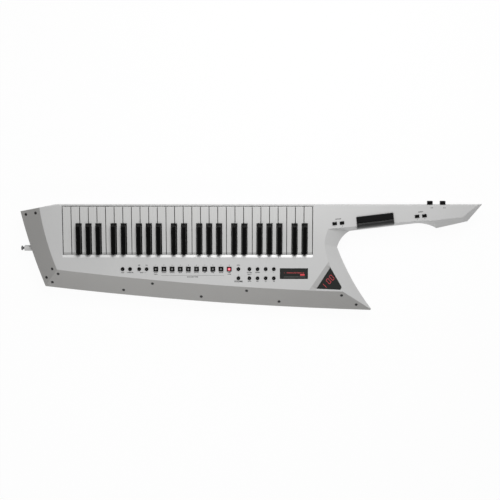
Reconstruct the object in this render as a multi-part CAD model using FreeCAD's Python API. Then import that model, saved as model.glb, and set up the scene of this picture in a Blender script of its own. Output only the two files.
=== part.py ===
import FreeCAD
import Part
import math
import os

from FreeCAD import Vector

# A shoulder-worn keyboard with a neck, lying on its back on rubber feet.
# +X runs along the neck, +Y points at the player's straight edge, +Z leaves the playing panel.
# The origin is the centre of the whole object's box, on the surface that the feet stand on.

# Keyboard
WHITE_KEYS = 29
KEY_PITCH = 23.4
KEY_GAP = 1.0
KEYS_RIGHT_X = 168.0
KEYS_LEFT_X = KEYS_RIGHT_X - WHITE_KEYS * KEY_PITCH
KEYS_BELOW_PANEL = 2.0
WHITE_SKIRT = 18.0
WHITE_FRONT_GAP = 1.5
WHITE_VISIBLE = 131.0
WHITE_DIP = 9.0
BLACK_HEIGHT = 12.0
BLACK_LENGTH = 84.2
BLACK_BASE = 14.0
BLACK_TOP = 10.4
BLACK_NOSE = 6.5
BLACK_SKIRT = 13.0
BLACK_DIP = 7.5
BLACK_CLEARANCE = 1.0
BLACK_FRONT_GAP = 1.2
# Offset of each black key from the line between white keys, from the high end, per octave
BLACK_OFFSETS = {1: -3.5, 2: 0.0, 3: 3.5, 5: -2.0, 6: 2.0}
OCTAVE = 7
TAIL_WIDTH = 8.0
TAIL_HEIGHT = 11.0
TAIL_LENGTH = 40.5
TAIL_ROOT = 8.0
KEY_SKIN = 2.0
PIVOT_BACK = 36.5
PIVOT_DROP = 17.5
PIVOT_RADIUS = 2.0
PIVOT_CLEARANCE = 0.4
COMB_REACH = 12.0
COMB_BAR = 4.0

# Body: heights of the shells, each from the floor of the case or from its panel
FOOT_HEIGHT = 4.0
CASE_HEIGHT = 64.0
RIM_HEIGHT = 40.0
NECK_DEPTH = 19.0
FRONT_RAIL_DROP = 6.0
BLADE_THICKNESS = 3.0
WALL = 3.0
THIN_PANEL = 3.0
TOP_EDGE_Y = 142.0
FLOOR_Z = FOOT_HEIGHT
PANEL_Z = FLOOR_Z + CASE_HEIGHT
RIM_Z = FLOOR_Z + RIM_HEIGHT
PARTING_Z = RIM_Z - BLADE_THICKNESS
NECK_FLOOR_Z = PARTING_Z - NECK_DEPTH
FRONT_RAIL_Z = PANEL_Z - FRONT_RAIL_DROP
CEILING_Z = PANEL_Z - BLADE_THICKNESS - WALL

# Places of the keys, from the panel and from the straight edge
WHITE_TOP_Z = PANEL_Z - KEYS_BELOW_PANEL
PIVOT_Z = WHITE_TOP_Z - PIVOT_DROP
COMB_TOP_Z = PIVOT_Z + TAIL_HEIGHT / 2 - 3.0
WHITE_FRONT_Y = TOP_EDGE_Y - WALL - WHITE_FRONT_GAP
WHITE_REAR_Y = WHITE_FRONT_Y - WHITE_VISIBLE
BLACK_FRONT_Y = WHITE_REAR_Y + BLACK_LENGTH
PIVOT_Y = WHITE_REAR_Y - PIVOT_BACK

# Lip of the panel at the keys' rear
LIP_WIDTH = 6.7
LIP_DROP = 3.5
KEY_SLOT_GAP = 0.8

# Fasteners
SCREW_HEAD_RADIUS = 4.0
SCREW_HEAD = 1.6
SCREW_SHANK_RADIUS = 1.5
SCREW_LENGTH = 5.0
SCREW_CLEARANCE = 0.2

# Buttons
BUTTON_PROUD = 2.4
BUTTON_CLEARANCE = 0.4
BUTTON_TRAVEL = 0.8
BUTTON_FLANGE = 1.2
FLANGE_HEIGHT = 1.4
STOP_GAP = 0.3
BOARD = 1.6
SWITCH_HEIGHT = 3.6
SWITCH_SIDE = 6.0
ROUND_BUTTON_RADIUS = 4.8
SQUARE_BUTTON = 12.4
BUTTON_ROW_Y = WHITE_REAR_Y - 40.0
BUTTON_ROW_PITCH = 25.3
SQUARE_COUNT = 10
SQUARE_PITCH = 22.25
SQUARE_FIRST_X = -259.0
ROUND_XS = (-349.5, -329.3, -304.2, -284.0)
MIDDLE_X = -33.5
GRID_FIRST_X = -3.5
GRID_PITCH = 22.2
GRID_COLUMNS = 4

# Screen and number window
SCREEN_SIZE = (76.6, 29.6)
SCREEN_CENTRE = (KEYS_RIGHT_X - 50.0, WHITE_REAR_Y - 52.6)
SCREEN_GLASS = 1.8
SCREEN_LEDGE = 3.0
NUMBER_DEPTH = 3.0
NUMBER_GLASS = 1.5
NUMBER_BAND = 13.0
NUMBER_LEDGE = 8.0

# Neck controls
NECK_ANGLE = 6.9
NECK_BUTTON = (11.6, 7.8)
NECK_BUTTON_PITCH = 19.9
EDGE_BUTTON = (14.4, 9.0)
EDGE_BUTTON_PROUD = 10.0
EDGE_BUTTON_TRAVEL = 1.2
EDGE_BUTTON_Z = PANEL_Z - 14.0
CONTROL_LENGTH = 100.5
RIBBON_WIDTH = 17.5
RIBBON_PROUD = 4.0
BAR_WIDTH = 17.0
BAR_PROUD = 5.5
BAR_DROP = 14.0
BAR_GAP = 0.6
BAR_SWING = 7.0
BAR_PIN_RADIUS = 1.5
BAR_PIN = 2.4
BAR_LUG = 4.0
BAR_HINGE_ACROSS = 14.0
BAR_HINGE_DROP = 4.0

# Strap pins
STRAP_REACH = 120.4
STRAP_Y = TOP_EDGE_Y - 122.4
STRAP_Z = PARTING_Z - 10.0
STRAP_BOSS_RADIUS = 7.8
STRAP_NECK_RADIUS = 3.4
STRAP_NECK = 5.0
STRAP_HEAD_RADIUS = 6.5
STRAP_HEAD = 4.0
STRAP_BOSS = 6.0

# Connector bay in the back, behind the tail
BAY_X = KEYS_RIGHT_X - 18.0
BAY_Y = (WHITE_REAR_Y - 92.5, WHITE_REAR_Y + 29.5)
BAY_HEIGHT = 20.0
BAY_TOP_Z = FLOOR_Z + WALL + BAY_HEIGHT
JACK_BORE = 3.25
JACK_BORE_LENGTH = 26.0
JACK_COLLAR = 4.7
JACK_YS = (BAY_Y[0] + 12.0, BAY_Y[0] + 32.0, BAY_Y[0] + 52.0)
MIDI_Y = BAY_Y[0] + 75.0
USB_Y = BAY_Y[0] + 97.0
DC_Y = BAY_Y[0] + 113.0
COLLAR_OUT = 1.0
PLATE = 2.0
MIDI_COLLAR = 7.6
JACK_Z = FLOOR_Z + WALL + MIDI_COLLAR + 0.4
MIDI_SHELL = 6.7
MIDI_DEPTH = 3.5
MIDI_PIN_CIRCLE = 4.5
DC_COLLAR = 5.2
DC_BORE = 2.9
# Window of the bay's wall, round the collars
WINDOW_Y = (JACK_YS[0] - JACK_COLLAR - 4.0, DC_Y + DC_COLLAR + 0.5)
WINDOW_HALF_HEIGHT = MIDI_COLLAR + 0.8

# Battery tray
CELL_RADIUS = 7.25
CELL_LENGTH = 50.5
CELLS_PER_COLUMN = 4
CELL_COLUMNS = 2
CELL_GAP = 0.6
BATTERY_CENTRE = (KEYS_LEFT_X + 125.6, TOP_EDGE_Y - 112.0)
DOOR_GAP = 0.4


def left(out, down):
    """A point placed from the keyboard's high end and the straight edge."""
    return (KEYS_LEFT_X - out, TOP_EDGE_Y - down)


def right(out, down):
    """A point placed from the keyboard's low end and the straight edge."""
    return (KEYS_RIGHT_X + out, TOP_EDGE_Y - down)


def low_left(out, down):
    """A point placed from the keyboard's high end and the white keys' rear edge."""
    return (KEYS_LEFT_X - out, WHITE_REAR_Y - down)


def low_right(out, down):
    """A point placed from the keyboard's low end and the white keys' rear edge."""
    return (KEYS_RIGHT_X + out, WHITE_REAR_Y - down)


# Outlines run clockwise from the high end's upper corner.
# Each corner is followed by how far the side after it bulges outwards.
RIM = [
    (left(117.9, 19.5), 0),
    (left(20.4, 0), 0),
    (right(463, 0), 0),
    (right(424, 47), 0),
    (right(340, 66), -6),
    (right(273, 53.5), 0),
    (right(102.5, 73.5), -5.8),
    (right(69, 118.5), -7.5),
    (low_right(167.5, 158.64), 10),
    (low_left(54.9, 91.5), 4),
]
PANEL = [
    (left(61.9, 7), 0),
    (left(16.4, 0), 0),
    (right(445, 0), 0),
    (right(408, 32.5), 0),
    (right(327.5, 42), -0.6),
    (right(269.5, 44), 0),
    (right(42, 65), -1.6),
    (right(32.5, 106.5), -7.5),
    (low_right(84.5, 102.5), 9),
    (low_left(18.4, 41.5), 5),
]
CORNERS = {"high": 0, "tail": 8, "low_corner": 9}
BACK_RIM = [RIM[0], RIM[1], (right(102.5, 0), 0), RIM[6], RIM[7], RIM[8], RIM[9]]
BACK_FLOOR = [
    (left(76, 42), 0),
    (left(12, 24), 0),
    (right(37, 24), 0),
    (right(32, 80), -3),
    (right(27, 122), -4),
    (low_right(94, 111.5), 8),
    (low_left(26, 58.5), 3),
]
NECK_RIM = [(right(22, 0), 0), RIM[2], RIM[3], RIM[4], RIM[5], RIM[6], (right(22, 76), 0)]
NECK_FLOOR = [
    (right(22, 10), 0),
    (right(412, 12), 0),
    (right(396, 30), 0),
    (right(338, 44), -3),
    (right(273, 40), 0),
    (right(100, 58), 0),
    (right(22, 62), 0),
]
FEET = [
    left(12, 52), low_left(-4, 36.5), left(-330, 42), low_left(-330, 60.5),
    right(-3, 42), low_right(-58, 90.5),
]
FOOT_RADIUS = 8.0

BLADE_SCREWS = [
    left(102.2, 27.5), left(73.5, 22.3), low_left(32.4, 40.5), low_left(50.7, 66.2),
    low_left(16.3, 54.2), low_left(34.8, 79.5), low_left(-160.7, 101.1), low_left(-241.3, 81.3),
    low_left(-374.5, 119.7), low_right(-179.2, 101.1), low_right(-89.8, 133.8), low_right(81.4, 114.2),
    low_right(123.0, 142.4),
]
CASE_SCREWS = [left(40, 60), low_left(10, 24.5), low_left(-270, 78.5), low_right(-80, 78.5)]
SHEET_SCREWS = [left(-270, 62), right(-5, 62)]
CHASSIS_POSTS = [
    left(-30, 40), low_left(-30, 14.5), left(-260, 40), low_left(-260, 14.5), left(-480, 40),
    right(-40, 40), right(-40, 95),
]
POST_RADIUS = 4.5

# Chassis and boards
CHASSIS_DROP = 17.0
CHASSIS_SHEET = 1.5
PAD_HEIGHT = 2.0
CHASSIS_Z = PIVOT_Z - CHASSIS_DROP
CONTACT_BOARD_Z = CHASSIS_Z + CHASSIS_SHEET + PAD_HEIGHT
MAIN_BOARD_Z = FLOOR_Z + 9.0
SLOT_REAR_Y = WHITE_REAR_Y - KEY_SLOT_GAP
WHITE_SWING = math.degrees(math.asin(WHITE_DIP / (WHITE_FRONT_Y - PIVOT_Y)))
BLACK_SWING = math.degrees(math.asin(BLACK_DIP / (BLACK_FRONT_Y - PIVOT_Y)))
BUTTON_TOP_Z = PANEL_Z + BUTTON_PROUD
THIN_CEILING_Z = PANEL_Z - THIN_PANEL
FLANGE_TOP_Z = THIN_CEILING_Z - STOP_GAP
STEM_Z = FLANGE_TOP_Z - FLANGE_HEIGHT - 2.0
SWITCH_TOP_Z = STEM_Z - BUTTON_TRAVEL - STOP_GAP
SWITCH_BOARD_Z = SWITCH_TOP_Z - SWITCH_HEIGHT - BOARD


def flat(point, z):
    return Vector(point[0], point[1], z)


def outline_wire(outline, z):
    """A closed wire of lines and arcs through an outline's corners."""
    edges = []
    for index, (start, bulge) in enumerate(outline):
        end = outline[(index + 1) % len(outline)][0]
        a, b = flat(start, z), flat(end, z)
        if bulge == 0:
            edges.append(Part.LineSegment(a, b).toShape())
        else:
            along = (b - a).normalize()
            outward = Vector(-along.y, along.x, 0)
            edges.append(Part.Arc(a, (a + b) * 0.5 + outward * bulge, b).toShape())
    return Part.Wire(edges)


def inset(outline, distance):
    """The same outline with every side moved inwards."""
    moved = []
    count = len(outline)
    for index in range(count):
        before = outline[index - 1][0]
        here, bulge = outline[index]
        after = outline[(index + 1) % count][0]
        first = offset_line(before, here, distance)
        second = offset_line(here, after, distance)
        moved.append((crossing(first, second), bulge))
    return moved


def offset_line(start, end, distance):
    dx, dy = end[0] - start[0], end[1] - start[1]
    length = math.hypot(dx, dy)
    nx, ny = dy / length * distance, -dx / length * distance
    return (start[0] + nx, start[1] + ny), (dx, dy)


def crossing(first, second):
    (px, py), (ux, uy) = first
    (qx, qy), (vx, vy) = second
    step = ((qx - px) * vy - (qy - py) * vx) / (ux * vy - uy * vx)
    return (px + ux * step, py + uy * step)


def skin(low_outline, low_z, high_outline, high_z):
    """A solid with ruled sides between two outlines."""
    wires = [outline_wire(low_outline, low_z), outline_wire(high_outline, high_z)]
    return Part.makeLoft(wires, True, True)


def prism(outline, low_z, high_z):
    face = Part.Face(outline_wire(outline, low_z))
    return face.extrude(Vector(0, 0, high_z - low_z))


def polygon_prism(points, low_z, high_z):
    return prism([(point, 0) for point in points], low_z, high_z)


def block(x0, x1, y0, y1, z0, z1):
    return Part.makeBox(x1 - x0, y1 - y0, z1 - z0, Vector(x0, y0, z0))


def centred_block(centre, size, z0, z1):
    x, y = centre
    return block(x - size[0] / 2, x + size[0] / 2, y - size[1] / 2, y + size[1] / 2, z0, z1)


def rod(radius, length, start, direction=Vector(0, 0, 1)):
    return Part.makeCylinder(radius, length, start, direction)


def profile_along_x(points, x0, x1):
    """A prism along X of a closed YZ profile."""
    corners = [Vector(x0, y, z) for y, z in points]
    return Part.Face(Part.makePolygon(corners + corners[:1])).extrude(Vector(x1 - x0, 0, 0))


def turned(shape, degrees, centre):
    shape = shape.copy()
    shape.rotate(flat(centre, 0), Vector(0, 0, 1), degrees)
    return shape


def along_neck(origin, along, across):
    """A plan point measured along and across the neck's lower edge."""
    angle = math.radians(NECK_ANGLE)
    x = origin[0] + along * math.cos(angle) - across * math.sin(angle)
    y = origin[1] + along * math.sin(angle) + across * math.cos(angle)
    return (x, y)


TAIL_TIP = 8
TAIL_BLUNT = 4.0


def beyond_tail():
    """Room past the tail's blunt end, square to the middle line of its tip."""
    (before, _), (tip, _), (after, _) = RIM[TAIL_TIP - 1:TAIL_TIP + 2]
    sides = [Vector(x - tip[0], y - tip[1], 0).normalize() for x, y in (before, after)]
    inward = (sides[0] + sides[1]).normalize()
    across = Vector(-inward.y, inward.x, 0) * 20
    near = flat(tip, 0) + inward * TAIL_BLUNT
    far = near - inward * 20
    corners = [near + across, near - across, far - across, far + across]
    return polygon_prism([(corner.x, corner.y) for corner in corners], 0, PANEL_Z + 10)


# Outer form of the front, before the blades are parted from it
def front_form():
    form = skin(RIM, RIM_Z, PANEL, PANEL_Z)
    return form.fuse(prism(RIM, PARTING_Z, RIM_Z)).removeSplitter().cut(beyond_tail())


def stretched(corner):
    """A point well outside the rim, on the line through one corner of panel and rim."""
    inner, outer = PANEL[CORNERS[corner]][0], RIM[CORNERS[corner]][0]
    return (inner[0] + 1.6 * (outer[0] - inner[0]), inner[1] + 1.6 * (outer[1] - inner[1]))


def blade_zones():
    high, tail, low = (PANEL[CORNERS[name]][0] for name in ("high", "tail", "low_corner"))
    left_zone = [(low, PANEL[9][1]), (high, 0), (stretched("high"), 0), (stretched("low_corner"), 0)]
    long_zone = [(tail, PANEL[8][1]), (low, 0), (stretched("low_corner"), 0), (stretched("tail"), 0)]
    return [prism(zone, 0, PANEL_Z + 10) for zone in (left_zone, long_zone)]


def surface_point(form, x, y):
    """Height and outward normal of the front form above a plan point."""
    def height(px, py):
        line = Part.makeLine(Vector(px, py, PARTING_Z - 1), Vector(px, py, PANEL_Z + 10))
        return line.common(form).BoundBox.ZMax

    z = height(x, y)
    slope_x = height(x + 1, y) - z
    slope_y = height(x, y + 1) - z
    return Vector(x, y, z), Vector(-slope_x, -slope_y, 1).normalize()


def blade_screw_tools(form):
    heads, holes = [], []
    for x, y in BLADE_SCREWS:
        top, normal = surface_point(form, x, y)
        seat = top - normal * (SCREW_HEAD + 0.2)
        head = rod(SCREW_HEAD_RADIUS, SCREW_HEAD, seat, normal)
        slot_depth = SCREW_HEAD * 0.6
        for turn in (0, 90):
            slot = Part.makeBox(4.2, 1.0, slot_depth + 1, Vector(-2.1, -0.5, SCREW_HEAD - slot_depth))
            slot.rotate(Vector(0, 0, 0), Vector(0, 0, 1), turn)
            tilt = FreeCAD.Placement(seat, FreeCAD.Rotation(Vector(0, 0, 1), normal))
            slot.Placement = tilt.multiply(slot.Placement)
            head = head.cut(slot)
        shank = rod(SCREW_SHANK_RADIUS, SCREW_LENGTH, seat - normal * SCREW_LENGTH, normal)
        heads.append(head.fuse(shank).removeSplitter())
        wide = rod(SCREW_HEAD_RADIUS + SCREW_CLEARANCE, SCREW_HEAD + 5, seat, normal)
        narrow_start = seat - normal * (SCREW_LENGTH + 1)
        narrow = rod(SCREW_SHANK_RADIUS + SCREW_CLEARANCE, SCREW_LENGTH + 2, narrow_start, normal)
        holes.append(wide.fuse(narrow))
    return heads, holes


# Places of the panel buttons, as groups that are moulded together
def button_groups():
    second_row = BUTTON_ROW_Y - BUTTON_ROW_PITCH
    grid_xs = [GRID_FIRST_X + column * GRID_PITCH for column in range(GRID_COLUMNS)]
    square_xs = [SQUARE_FIRST_X + index * SQUARE_PITCH for index in range(SQUARE_COUNT)]
    return {
        "round_buttons": ("round", [(x, BUTTON_ROW_Y) for x in ROUND_XS]),
        "square_buttons": ("square", [(x, BUTTON_ROW_Y) for x in square_xs]),
        "middle_buttons": ("round", [(MIDDLE_X, BUTTON_ROW_Y), (MIDDLE_X, second_row)]),
        "menu_buttons": ("round", [(x, y) for y in (BUTTON_ROW_Y, second_row) for x in grid_xs]),
    }


def button_column(kind, centre, low_z, high_z, extra):
    if kind == "round":
        return rod(ROUND_BUTTON_RADIUS + extra, high_z - low_z, flat(centre, low_z))
    side = SQUARE_BUTTON + 2 * extra
    return centred_block(centre, (side, side), low_z, high_z)


def panel_button(kind, centre):
    cap = button_column(kind, centre, FLANGE_TOP_Z, BUTTON_TOP_Z, 0)
    top_edges = [edge for edge in cap.Edges if edge.BoundBox.ZMin > BUTTON_TOP_Z - 0.01]
    cap = cap.makeFillet(0.7, top_edges)
    flange = button_column(kind, centre, FLANGE_TOP_Z - FLANGE_HEIGHT, FLANGE_TOP_Z, BUTTON_FLANGE)
    stem = rod(2.0, FLANGE_TOP_Z - FLANGE_HEIGHT - STEM_Z, flat(centre, STEM_Z))
    return cap.fuse([flange, stem]).removeSplitter()


NECK_PAIRS = {
    "octave_buttons": along_neck(right(59.8, 50.4), 0, 0),
    "neck_end_buttons": along_neck(right(282.9, 30.7), 0, 0),
}


def neck_button_places(first):
    return [first, along_neck(first, NECK_BUTTON_PITCH, -0.7)]


def neck_button(centre):
    cap = centred_block(centre, NECK_BUTTON, FLANGE_TOP_Z, BUTTON_TOP_Z)
    top_edges = [edge for edge in cap.Edges if edge.BoundBox.ZMin > BUTTON_TOP_Z - 0.01]
    cap = cap.makeFillet(0.7, top_edges)
    wide = (NECK_BUTTON[0] + 2 * BUTTON_FLANGE, NECK_BUTTON[1] + 2 * BUTTON_FLANGE)
    flange = centred_block(centre, wide, FLANGE_TOP_Z - FLANGE_HEIGHT, FLANGE_TOP_Z)
    stem = rod(2.0, FLANGE_TOP_Z - FLANGE_HEIGHT - STEM_Z, flat(centre, STEM_Z))
    return turned(cap.fuse([flange, stem]).removeSplitter(), NECK_ANGLE, centre)


EDGE_XS = (KEYS_RIGHT_X + 318.7, KEYS_RIGHT_X + 353.4)


def edge_button(x):
    half_wide, half_high = EDGE_BUTTON[0] / 2, EDGE_BUTTON[1] / 2
    outer_y = TOP_EDGE_Y + EDGE_BUTTON_PROUD
    flange_y = TOP_EDGE_Y - WALL - STOP_GAP
    cap = block(x - half_wide, x + half_wide, flange_y, outer_y,
                EDGE_BUTTON_Z - half_high, EDGE_BUTTON_Z + half_high)
    end_edges = [edge for edge in cap.Edges if edge.BoundBox.YMin > outer_y - 0.01]
    cap = cap.makeFillet(1.0, end_edges)
    wide, high = half_wide + BUTTON_FLANGE, half_high + BUTTON_FLANGE
    flange = block(x - wide, x + wide, flange_y - FLANGE_HEIGHT, flange_y,
                   EDGE_BUTTON_Z - high, EDGE_BUTTON_Z + high)
    return cap.fuse(flange).removeSplitter()


# Ribbon strip and pressure bar on the neck, built level and turned onto its lower edge
CONTROL_ORIGIN = right(122.0, 67.0)


def control_block(along0, along1, across0, across1, z0, z1):
    x, y = CONTROL_ORIGIN
    shape = block(x + along0, x + along1, y + across0, y + across1, z0, z1)
    return turned(shape, NECK_ANGLE, CONTROL_ORIGIN)


def ribbon_strip():
    x, y = CONTROL_ORIGIN
    low, high = y + BAR_WIDTH + BAR_GAP, y + BAR_WIDTH + RIBBON_WIDTH
    base = block(x, x + CONTROL_LENGTH, low, high, PANEL_Z - 2.0, PANEL_Z + RIBBON_PROUD)
    far_corners = [
        edge for edge in base.Edges
        if edge.BoundBox.YMin > high - 0.01 and edge.BoundBox.ZLength > 1
    ]
    base = base.makeFillet(3.0, far_corners)
    rim = [edge for edge in base.Edges if edge.BoundBox.ZMin > PANEL_Z + RIBBON_PROUD - 0.01]
    base = base.makeFillet(0.8, rim)
    return turned(base, NECK_ANGLE, CONTROL_ORIGIN)


def bar_profile():
    """Quarter-round section of the pressure bar, from its hinge edge to the neck's lower edge."""
    x, y = CONTROL_ORIGIN
    top_z, low_z = PANEL_Z + BAR_PROUD, PANEL_Z - BAR_DROP
    inner_y, outer_y = y + BAR_WIDTH, y
    a = Vector(x, inner_y, top_z - 0.5)
    b = Vector(x, inner_y - 4.0, top_z)
    bend = Vector(x, outer_y + 4.2, top_z - 5.2)
    c = Vector(x, outer_y, low_z)
    d = Vector(x, outer_y + 3.0, low_z)
    inner_bend = Vector(x, outer_y + 6.2, top_z - 7.2)
    e = Vector(x, inner_y, top_z - 5.0)
    edges = [
        Part.makeLine(a, b), Part.Arc(b, bend, c).toShape(), Part.makeLine(c, d),
        Part.Arc(d, inner_bend, e).toShape(), Part.makeLine(e, a),
    ]
    return Part.Face(Part.Wire(edges))


BAR_HINGE_Z = PANEL_Z - BAR_HINGE_DROP


def bar_pin(radius, reach):
    """The bar's hinge pin, or the hole for it, past both ends of the bar."""
    x, y = CONTROL_ORIGIN
    start = Vector(x - reach, y + BAR_HINGE_ACROSS, BAR_HINGE_Z)
    return rod(radius, CONTROL_LENGTH + 2 * reach, start, Vector(1, 0, 0))


def pressure_bar():
    x, y = CONTROL_ORIGIN
    shape = bar_profile().extrude(Vector(CONTROL_LENGTH, 0, 0))
    pin = bar_pin(BAR_PIN_RADIUS, BAR_PIN)
    lug_y = y + BAR_HINGE_ACROSS
    lugs = [block(lug_x, lug_x + BAR_LUG, lug_y - 2.5, lug_y + 2.5, BAR_HINGE_Z - 2.5, PANEL_Z + 1.6)
            for lug_x in (x, x + CONTROL_LENGTH - BAR_LUG)]
    between_lugs = block(x + BAR_LUG, x + CONTROL_LENGTH - BAR_LUG, y, y + 20,
                         BAR_HINGE_Z - 5, BAR_HINGE_Z + 5)
    pin = pin.cut(between_lugs)
    return turned(shape.fuse(lugs + [pin]).removeSplitter(), NECK_ANGLE, CONTROL_ORIGIN)


def bar_recess():
    """Room in the neck for the pressure bar, its lugs and pin, and its swing."""
    x, y = CONTROL_ORIGIN
    low_z, lug_z = PANEL_Z - BAR_DROP - 3.5, BAR_HINGE_Z - 3.5
    high_y = y + BAR_WIDTH + BAR_GAP
    points = [
        (high_y, lug_z), (high_y, PANEL_Z + 30), (y - 20, PANEL_Z + 30), (y - 20, low_z),
        (y + 6.0, low_z), (y + 8.0, lug_z),
    ]
    shape = profile_along_x(points, x - BAR_GAP, x + CONTROL_LENGTH + BAR_GAP)
    shape = shape.fuse(bar_pin(BAR_PIN_RADIUS + 0.35, BAR_PIN + 0.5))
    return turned(shape, NECK_ANGLE, CONTROL_ORIGIN)


# Recess and window of the three-sided number display in the tail
def number_triangle():
    """Corners of the window: apex, tail, tail chamfer, and low corner near the keys."""
    return [low_right(49.5, 35.5), low_right(81.4, 90.5), low_right(77.5, 97.9), low_right(12.0, 94.9)]


def number_recess():
    apex, tail, chamfer, low = number_triangle()
    floor_z = PANEL_Z - NUMBER_DEPTH
    well = polygon_prism([apex, tail, chamfer, low], floor_z - NUMBER_GLASS, PANEL_Z + 5)
    slope = math.hypot(apex[0] - low[0], apex[1] - low[1])
    nx, ny = (low[1] - apex[1]) / slope * NUMBER_BAND, (apex[0] - low[0]) / slope * NUMBER_BAND
    far_apex = (apex[0] + nx, apex[1] + ny)
    far_low = (low[0] + nx, low[1] + ny)
    corners = [flat(apex, floor_z), flat(low, floor_z), flat(low, PANEL_Z), flat(far_low, PANEL_Z),
               flat(far_apex, PANEL_Z), flat(apex, PANEL_Z)]
    lower_apex, lower_low, upper_low, edge_low, edge_apex, upper_apex = corners
    faces = [
        [lower_apex, lower_low, edge_low, edge_apex], [lower_low, upper_low, edge_low],
        [lower_apex, edge_apex, upper_apex], [edge_apex, edge_low, upper_low, upper_apex],
        [lower_apex, upper_apex, upper_low, lower_low],
    ]
    wedge = Part.Solid(Part.Shell([Part.Face(Part.makePolygon(face + face[:1])) for face in faces]))
    if wedge.Volume < 0:
        wedge.reverse()
    return well, wedge


def number_window():
    floor_z = PANEL_Z - NUMBER_DEPTH
    points = inset([(point, 0) for point in number_triangle()], 0.2)
    return prism(points, floor_z - NUMBER_GLASS, floor_z)


def number_opening(margin, low_z):
    """The space behind the number window, as a smaller three-sided prism."""
    apex, tail_end, _, low = number_triangle()
    points = inset([(apex, 0), (tail_end, 0), (low, 0)], margin)
    return prism(points, low_z, PANEL_Z - NUMBER_DEPTH - NUMBER_GLASS)


def board_boss_places():
    between_rows = BUTTON_ROW_Y - BUTTON_ROW_PITCH / 2
    row_gap = BUTTON_ROW_Y - 6.5
    beside_squares = (SQUARE_FIRST_X + (SQUARE_COUNT - 1) * SQUARE_PITCH + MIDDLE_X) / 2 + 0.7
    return [
        (ROUND_XS[0] - 12, row_gap), (SQUARE_FIRST_X - 12, row_gap), (beside_squares, between_rows),
        (GRID_FIRST_X + (GRID_COLUMNS - 1.5) * GRID_PITCH, between_rows),
    ]


def thin_zones(margin, low_z, high_z):
    """The part of the panel that carries buttons, as one row and one two-row block."""
    x0, x1 = ROUND_XS[0] - 20, GRID_FIRST_X + (GRID_COLUMNS - 1) * GRID_PITCH + 12
    low_y, high_y = BUTTON_ROW_Y - BUTTON_ROW_PITCH - 9, BUTTON_ROW_Y + 11.5
    row = block(x0 + margin, x1 - margin, BUTTON_ROW_Y - 12.5 + margin, high_y - margin, low_z, high_z)
    pair = block(MIDDLE_X - 17 + margin, x1 - margin, low_y + margin, high_y - margin, low_z, high_z)
    return row.fuse(pair).removeSplitter()


def screen_size(extra):
    return (SCREEN_SIZE[0] + extra, SCREEN_SIZE[1] + extra)


def top_case(form, blades, screw_holes):
    """Front shell: playing panel, tail slope and neck, moulded in one."""
    cavity = skin(inset(RIM, WALL), RIM_Z - BLADE_THICKNESS - WALL, inset(PANEL, WALL), CEILING_Z)
    cavity = cavity.fuse(prism(inset(RIM, WALL), PARTING_Z - 5, RIM_Z - BLADE_THICKNESS - WALL))
    shell = form.cut(blades).cut([cavity, thin_zones(0, CEILING_Z - 1, THIN_CEILING_Z)])
    cuts = [
        block(KEYS_LEFT_X - 1, KEYS_RIGHT_X + 1, SLOT_REAR_Y, TOP_EDGE_Y - WALL, CEILING_Z - 2, PANEL_Z + 5),
        block(KEYS_LEFT_X - 1, KEYS_RIGHT_X + 1, SLOT_REAR_Y, TOP_EDGE_Y + 5, FRONT_RAIL_Z, PANEL_Z + 5),
        profile_along_x(
            [(SLOT_REAR_Y + 1, PANEL_Z - LIP_DROP), (SLOT_REAR_Y, PANEL_Z - LIP_DROP),
             (SLOT_REAR_Y - LIP_WIDTH, PANEL_Z), (SLOT_REAR_Y - LIP_WIDTH, PANEL_Z + 2),
             (SLOT_REAR_Y + 1, PANEL_Z + 2)],
            KEYS_LEFT_X - 1, KEYS_RIGHT_X + 1),
        centred_block(SCREEN_CENTRE, screen_size(0.3), PANEL_Z - SCREEN_GLASS, PANEL_Z + 5),
        centred_block(SCREEN_CENTRE, screen_size(-2 * SCREEN_LEDGE), CEILING_Z - 2, PANEL_Z),
        control_block(-BAR_GAP, CONTROL_LENGTH + BAR_GAP, BAR_WIDTH, BAR_WIDTH + RIBBON_WIDTH + BAR_GAP,
                      PANEL_Z - 2.0, PANEL_Z + 5),
        bar_recess(),
        number_opening(NUMBER_LEDGE, CEILING_Z - 8),
    ]
    cuts += list(number_recess())
    for kind, places in button_groups().values():
        for centre in places:
            cuts.append(button_column(kind, centre, CEILING_Z - 1, PANEL_Z + 5, BUTTON_CLEARANCE))
    for first in NECK_PAIRS.values():
        for centre in neck_button_places(first):
            hole = (NECK_BUTTON[0] + 2 * BUTTON_CLEARANCE, NECK_BUTTON[1] + 2 * BUTTON_CLEARANCE)
            cuts.append(turned(centred_block(centre, hole, CEILING_Z - 1, PANEL_Z + 5), NECK_ANGLE, centre))
            room = (hole[0] + 4 * BUTTON_FLANGE, hole[1] + 4 * BUTTON_FLANGE)
            well = centred_block(centre, room, CEILING_Z - 2, THIN_CEILING_Z)
            cuts.append(turned(well, NECK_ANGLE, centre))
    half_wide, half_high = EDGE_BUTTON[0] / 2 + BUTTON_CLEARANCE, EDGE_BUTTON[1] / 2 + BUTTON_CLEARANCE
    for x in EDGE_XS:
        cuts.append(block(x - half_wide, x + half_wide, TOP_EDGE_Y - WALL - 1, TOP_EDGE_Y + 5,
                          EDGE_BUTTON_Z - half_high, EDGE_BUTTON_Z + half_high))
    shell = shell.cut(cuts + screw_holes)
    bosses = [rod(3.0, THIN_CEILING_Z - SWITCH_BOARD_Z - BOARD + 0.5, flat(place, SWITCH_BOARD_Z + BOARD))
              for place in board_boss_places()]
    lowered = form.copy()
    lowered.translate(Vector(0, 0, -(BLADE_THICKNESS + 1)))
    tall = PANEL_Z - CHASSIS_Z
    hanging = [rod(POST_RADIUS - 1, tall, flat(place, CHASSIS_Z)) for place in CASE_SCREWS]
    bosses += [boss.common(boss_room(lowered)) for boss in hanging]
    return shell.fuse(bosses).removeSplitter()


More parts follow.
